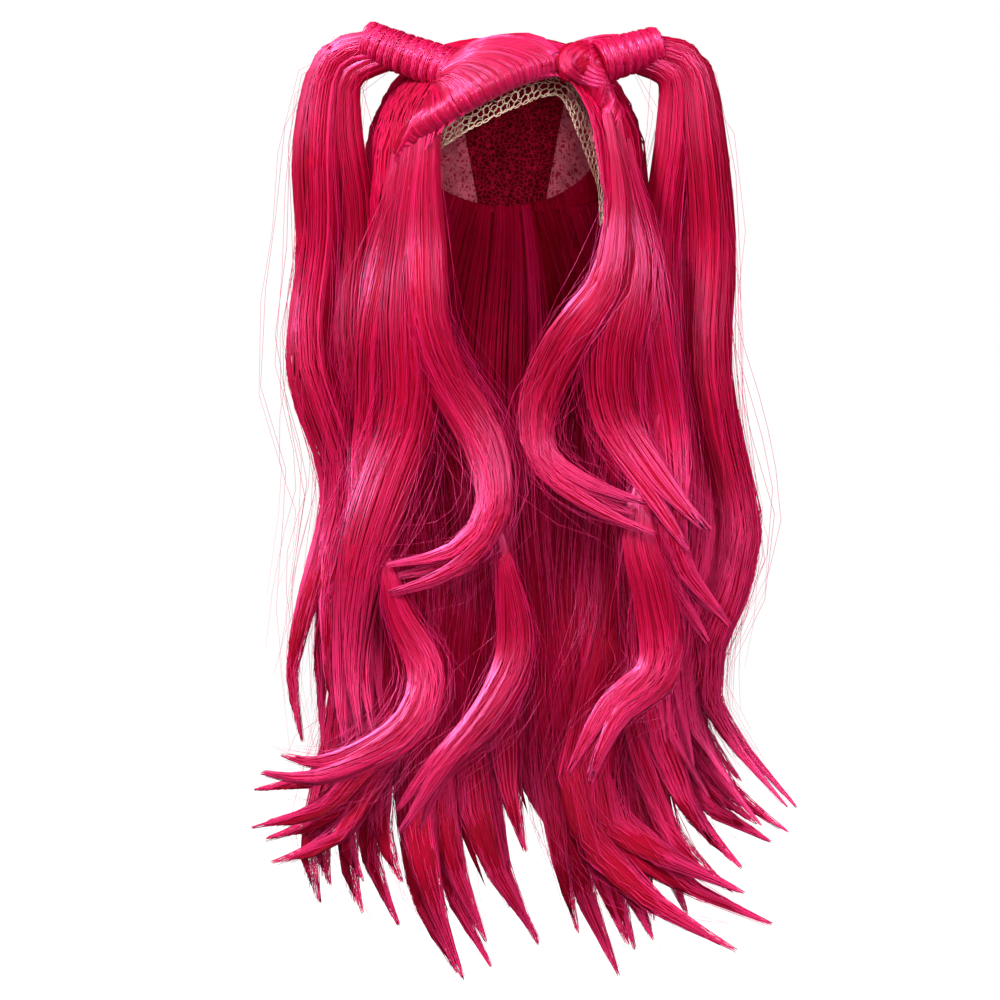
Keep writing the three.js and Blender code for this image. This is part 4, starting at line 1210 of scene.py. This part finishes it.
def looseHair(look):
    store = newStore()
    n, t = look["perLock"], np.linspace(0, 1, look["steps"] + 1)
    for rows, shape in ((backLocks, backShape), (bunchLeft, bunchShape), (bunchRight, bunchShape),
                        (frontLeft, frontShape), (frontRight, frontShape)):
        for row in rows:
            lock = lockForm(row, shape)
            start = rng.uniform(*look["start"], (n, 1))
            share = start + (rng.uniform(*look["stop"], (n, 1)) - start) * t
            turn = rng.uniform(0, 2 * math.pi, (n, 1))
            out = 1 + (rng.uniform(*look["out"], (n, 1)) - 1) * np.sin(math.pi * t) ** 0.7
            drift = rng.normal(0, look["drift"], (n, 1)) * t ** 1.5
            drift += rng.normal(0, look["bow"], (n, 1)) * np.sin(t * rng.uniform(*look["bowRate"], (n, 1)))
            sideways = pick(lock["wide"], share) * out * np.cos(turn) + drift
            backward = pick(lock["deep"], share) * out * np.sin(turn) + drift * lockLook["backward"]
            paths = onLock(lock, share, sideways, backward)
            addTubes(store, paths, taper(n, len(t), look["thick"]), rng.uniform(*look["shade"], n))
    tubePiece(store, "loose_hairs", hairStrands, ["back_hair"])


looseHair(looseLook)

# studio: pale floor, soft lights, camera level with the middle of the wig
print("studio")
studio = dict(floorZ=-0.80, floorSize=40, floorGlow=1.0, world=0.2, backdrop=1.0, distance=14.0, seen=0.75,
              middle=(-0.00375, -0.3315))  # metres
lights = [
    dict(name="key", at=(-1.9, -2.3, 1.6), size=0.8, power=175, gloss=True),
    dict(name="top", at=(0.3, -1.7, 2.6), size=0.8, power=20, gloss=True),
    dict(name="fill", at=(2.0, -2.3, 1.5), size=0.8, power=74, gloss=True),
    dict(name="rim", at=(-2.4, 0.3, 0.15), size=0.6, power=10, gloss=True),
    dict(name="front", at=(0.2, -3.6, -0.1), size=1.4, power=52, gloss=False),
    dict(name="back", at=(0.4, 2.4, 1.8), size=1.2, power=85, gloss=False),
]
aim = Vector((0, 0, -0.30))

bm = bmesh.new()
bmesh.ops.create_grid(bm, x_segments=8, y_segments=8, size=studio["floorSize"] / 2)
floorMesh = bpy.data.meshes.new("floor")
bm.to_mesh(floorMesh)
bm.free()
floorMesh.transform(Matrix.Translation((0, 0, studio["floorZ"])))
floor = bpy.data.objects.new("floor", floorMesh)
scene.collection.objects.link(floor)
paper, nodes, links, shader = newMaterial("whitePaper")
shader.inputs["Base Color"].default_value = (0.93, 0.93, 0.93, 1)
shader.inputs["Roughness"].default_value = 0.9
shader.inputs["Emission Color"].default_value = (1, 1, 1, 1)
shader.inputs["Emission Strength"].default_value = studio["floorGlow"]
floorMesh.materials.append(paper)
floor.visible_diffuse = False  # the paper is seen, but the hair is lit by the lamps and the room
floor.visible_glossy = False

for row in lights:
    light = bpy.data.lights.new(row["name"], "AREA")
    light.size = row["size"]
    light.energy = row["power"]
    lamp = bpy.data.objects.new(row["name"], light)
    lamp.location = row["at"]
    lamp.visible_glossy = row["gloss"]
    lamp.rotation_euler = (aim - Vector(row["at"])).to_track_quat("-Z", "Y").to_euler()
    scene.collection.objects.link(lamp)

world = bpy.data.worlds.new("studio")
world.use_nodes = True
nodes, links = world.node_tree.nodes, world.node_tree.links
seen = nodes.new("ShaderNodeLightPath")
strength = nodes.new("ShaderNodeMix")  # a white backdrop, with less light from it than from the lamps
strength.inputs[2].default_value = studio["world"]
strength.inputs[3].default_value = studio["backdrop"]
links.new(seen.outputs["Is Camera Ray"], strength.inputs[0])
links.new(strength.outputs[0], nodes["Background"].inputs["Strength"])
nodes["Background"].inputs["Color"].default_value = (1, 1, 1, 1)
scene.world = world
world.cycles_visibility.glossy = False  # only the lamps shine on the hair
scene.view_settings.view_transform = "Standard"

camera = bpy.data.cameras.new("camera")
camera.sensor_width = 36
camera.lens = camera.sensor_width * studio["distance"] / studio["seen"]
camera.clip_end = 100
eye = bpy.data.objects.new("camera", camera)
eye.location = (studio["middle"][0], -studio["distance"], studio["middle"][1])
eye.rotation_euler = (math.pi / 2, 0, 0)
scene.collection.objects.link(eye)
scene.camera = eye
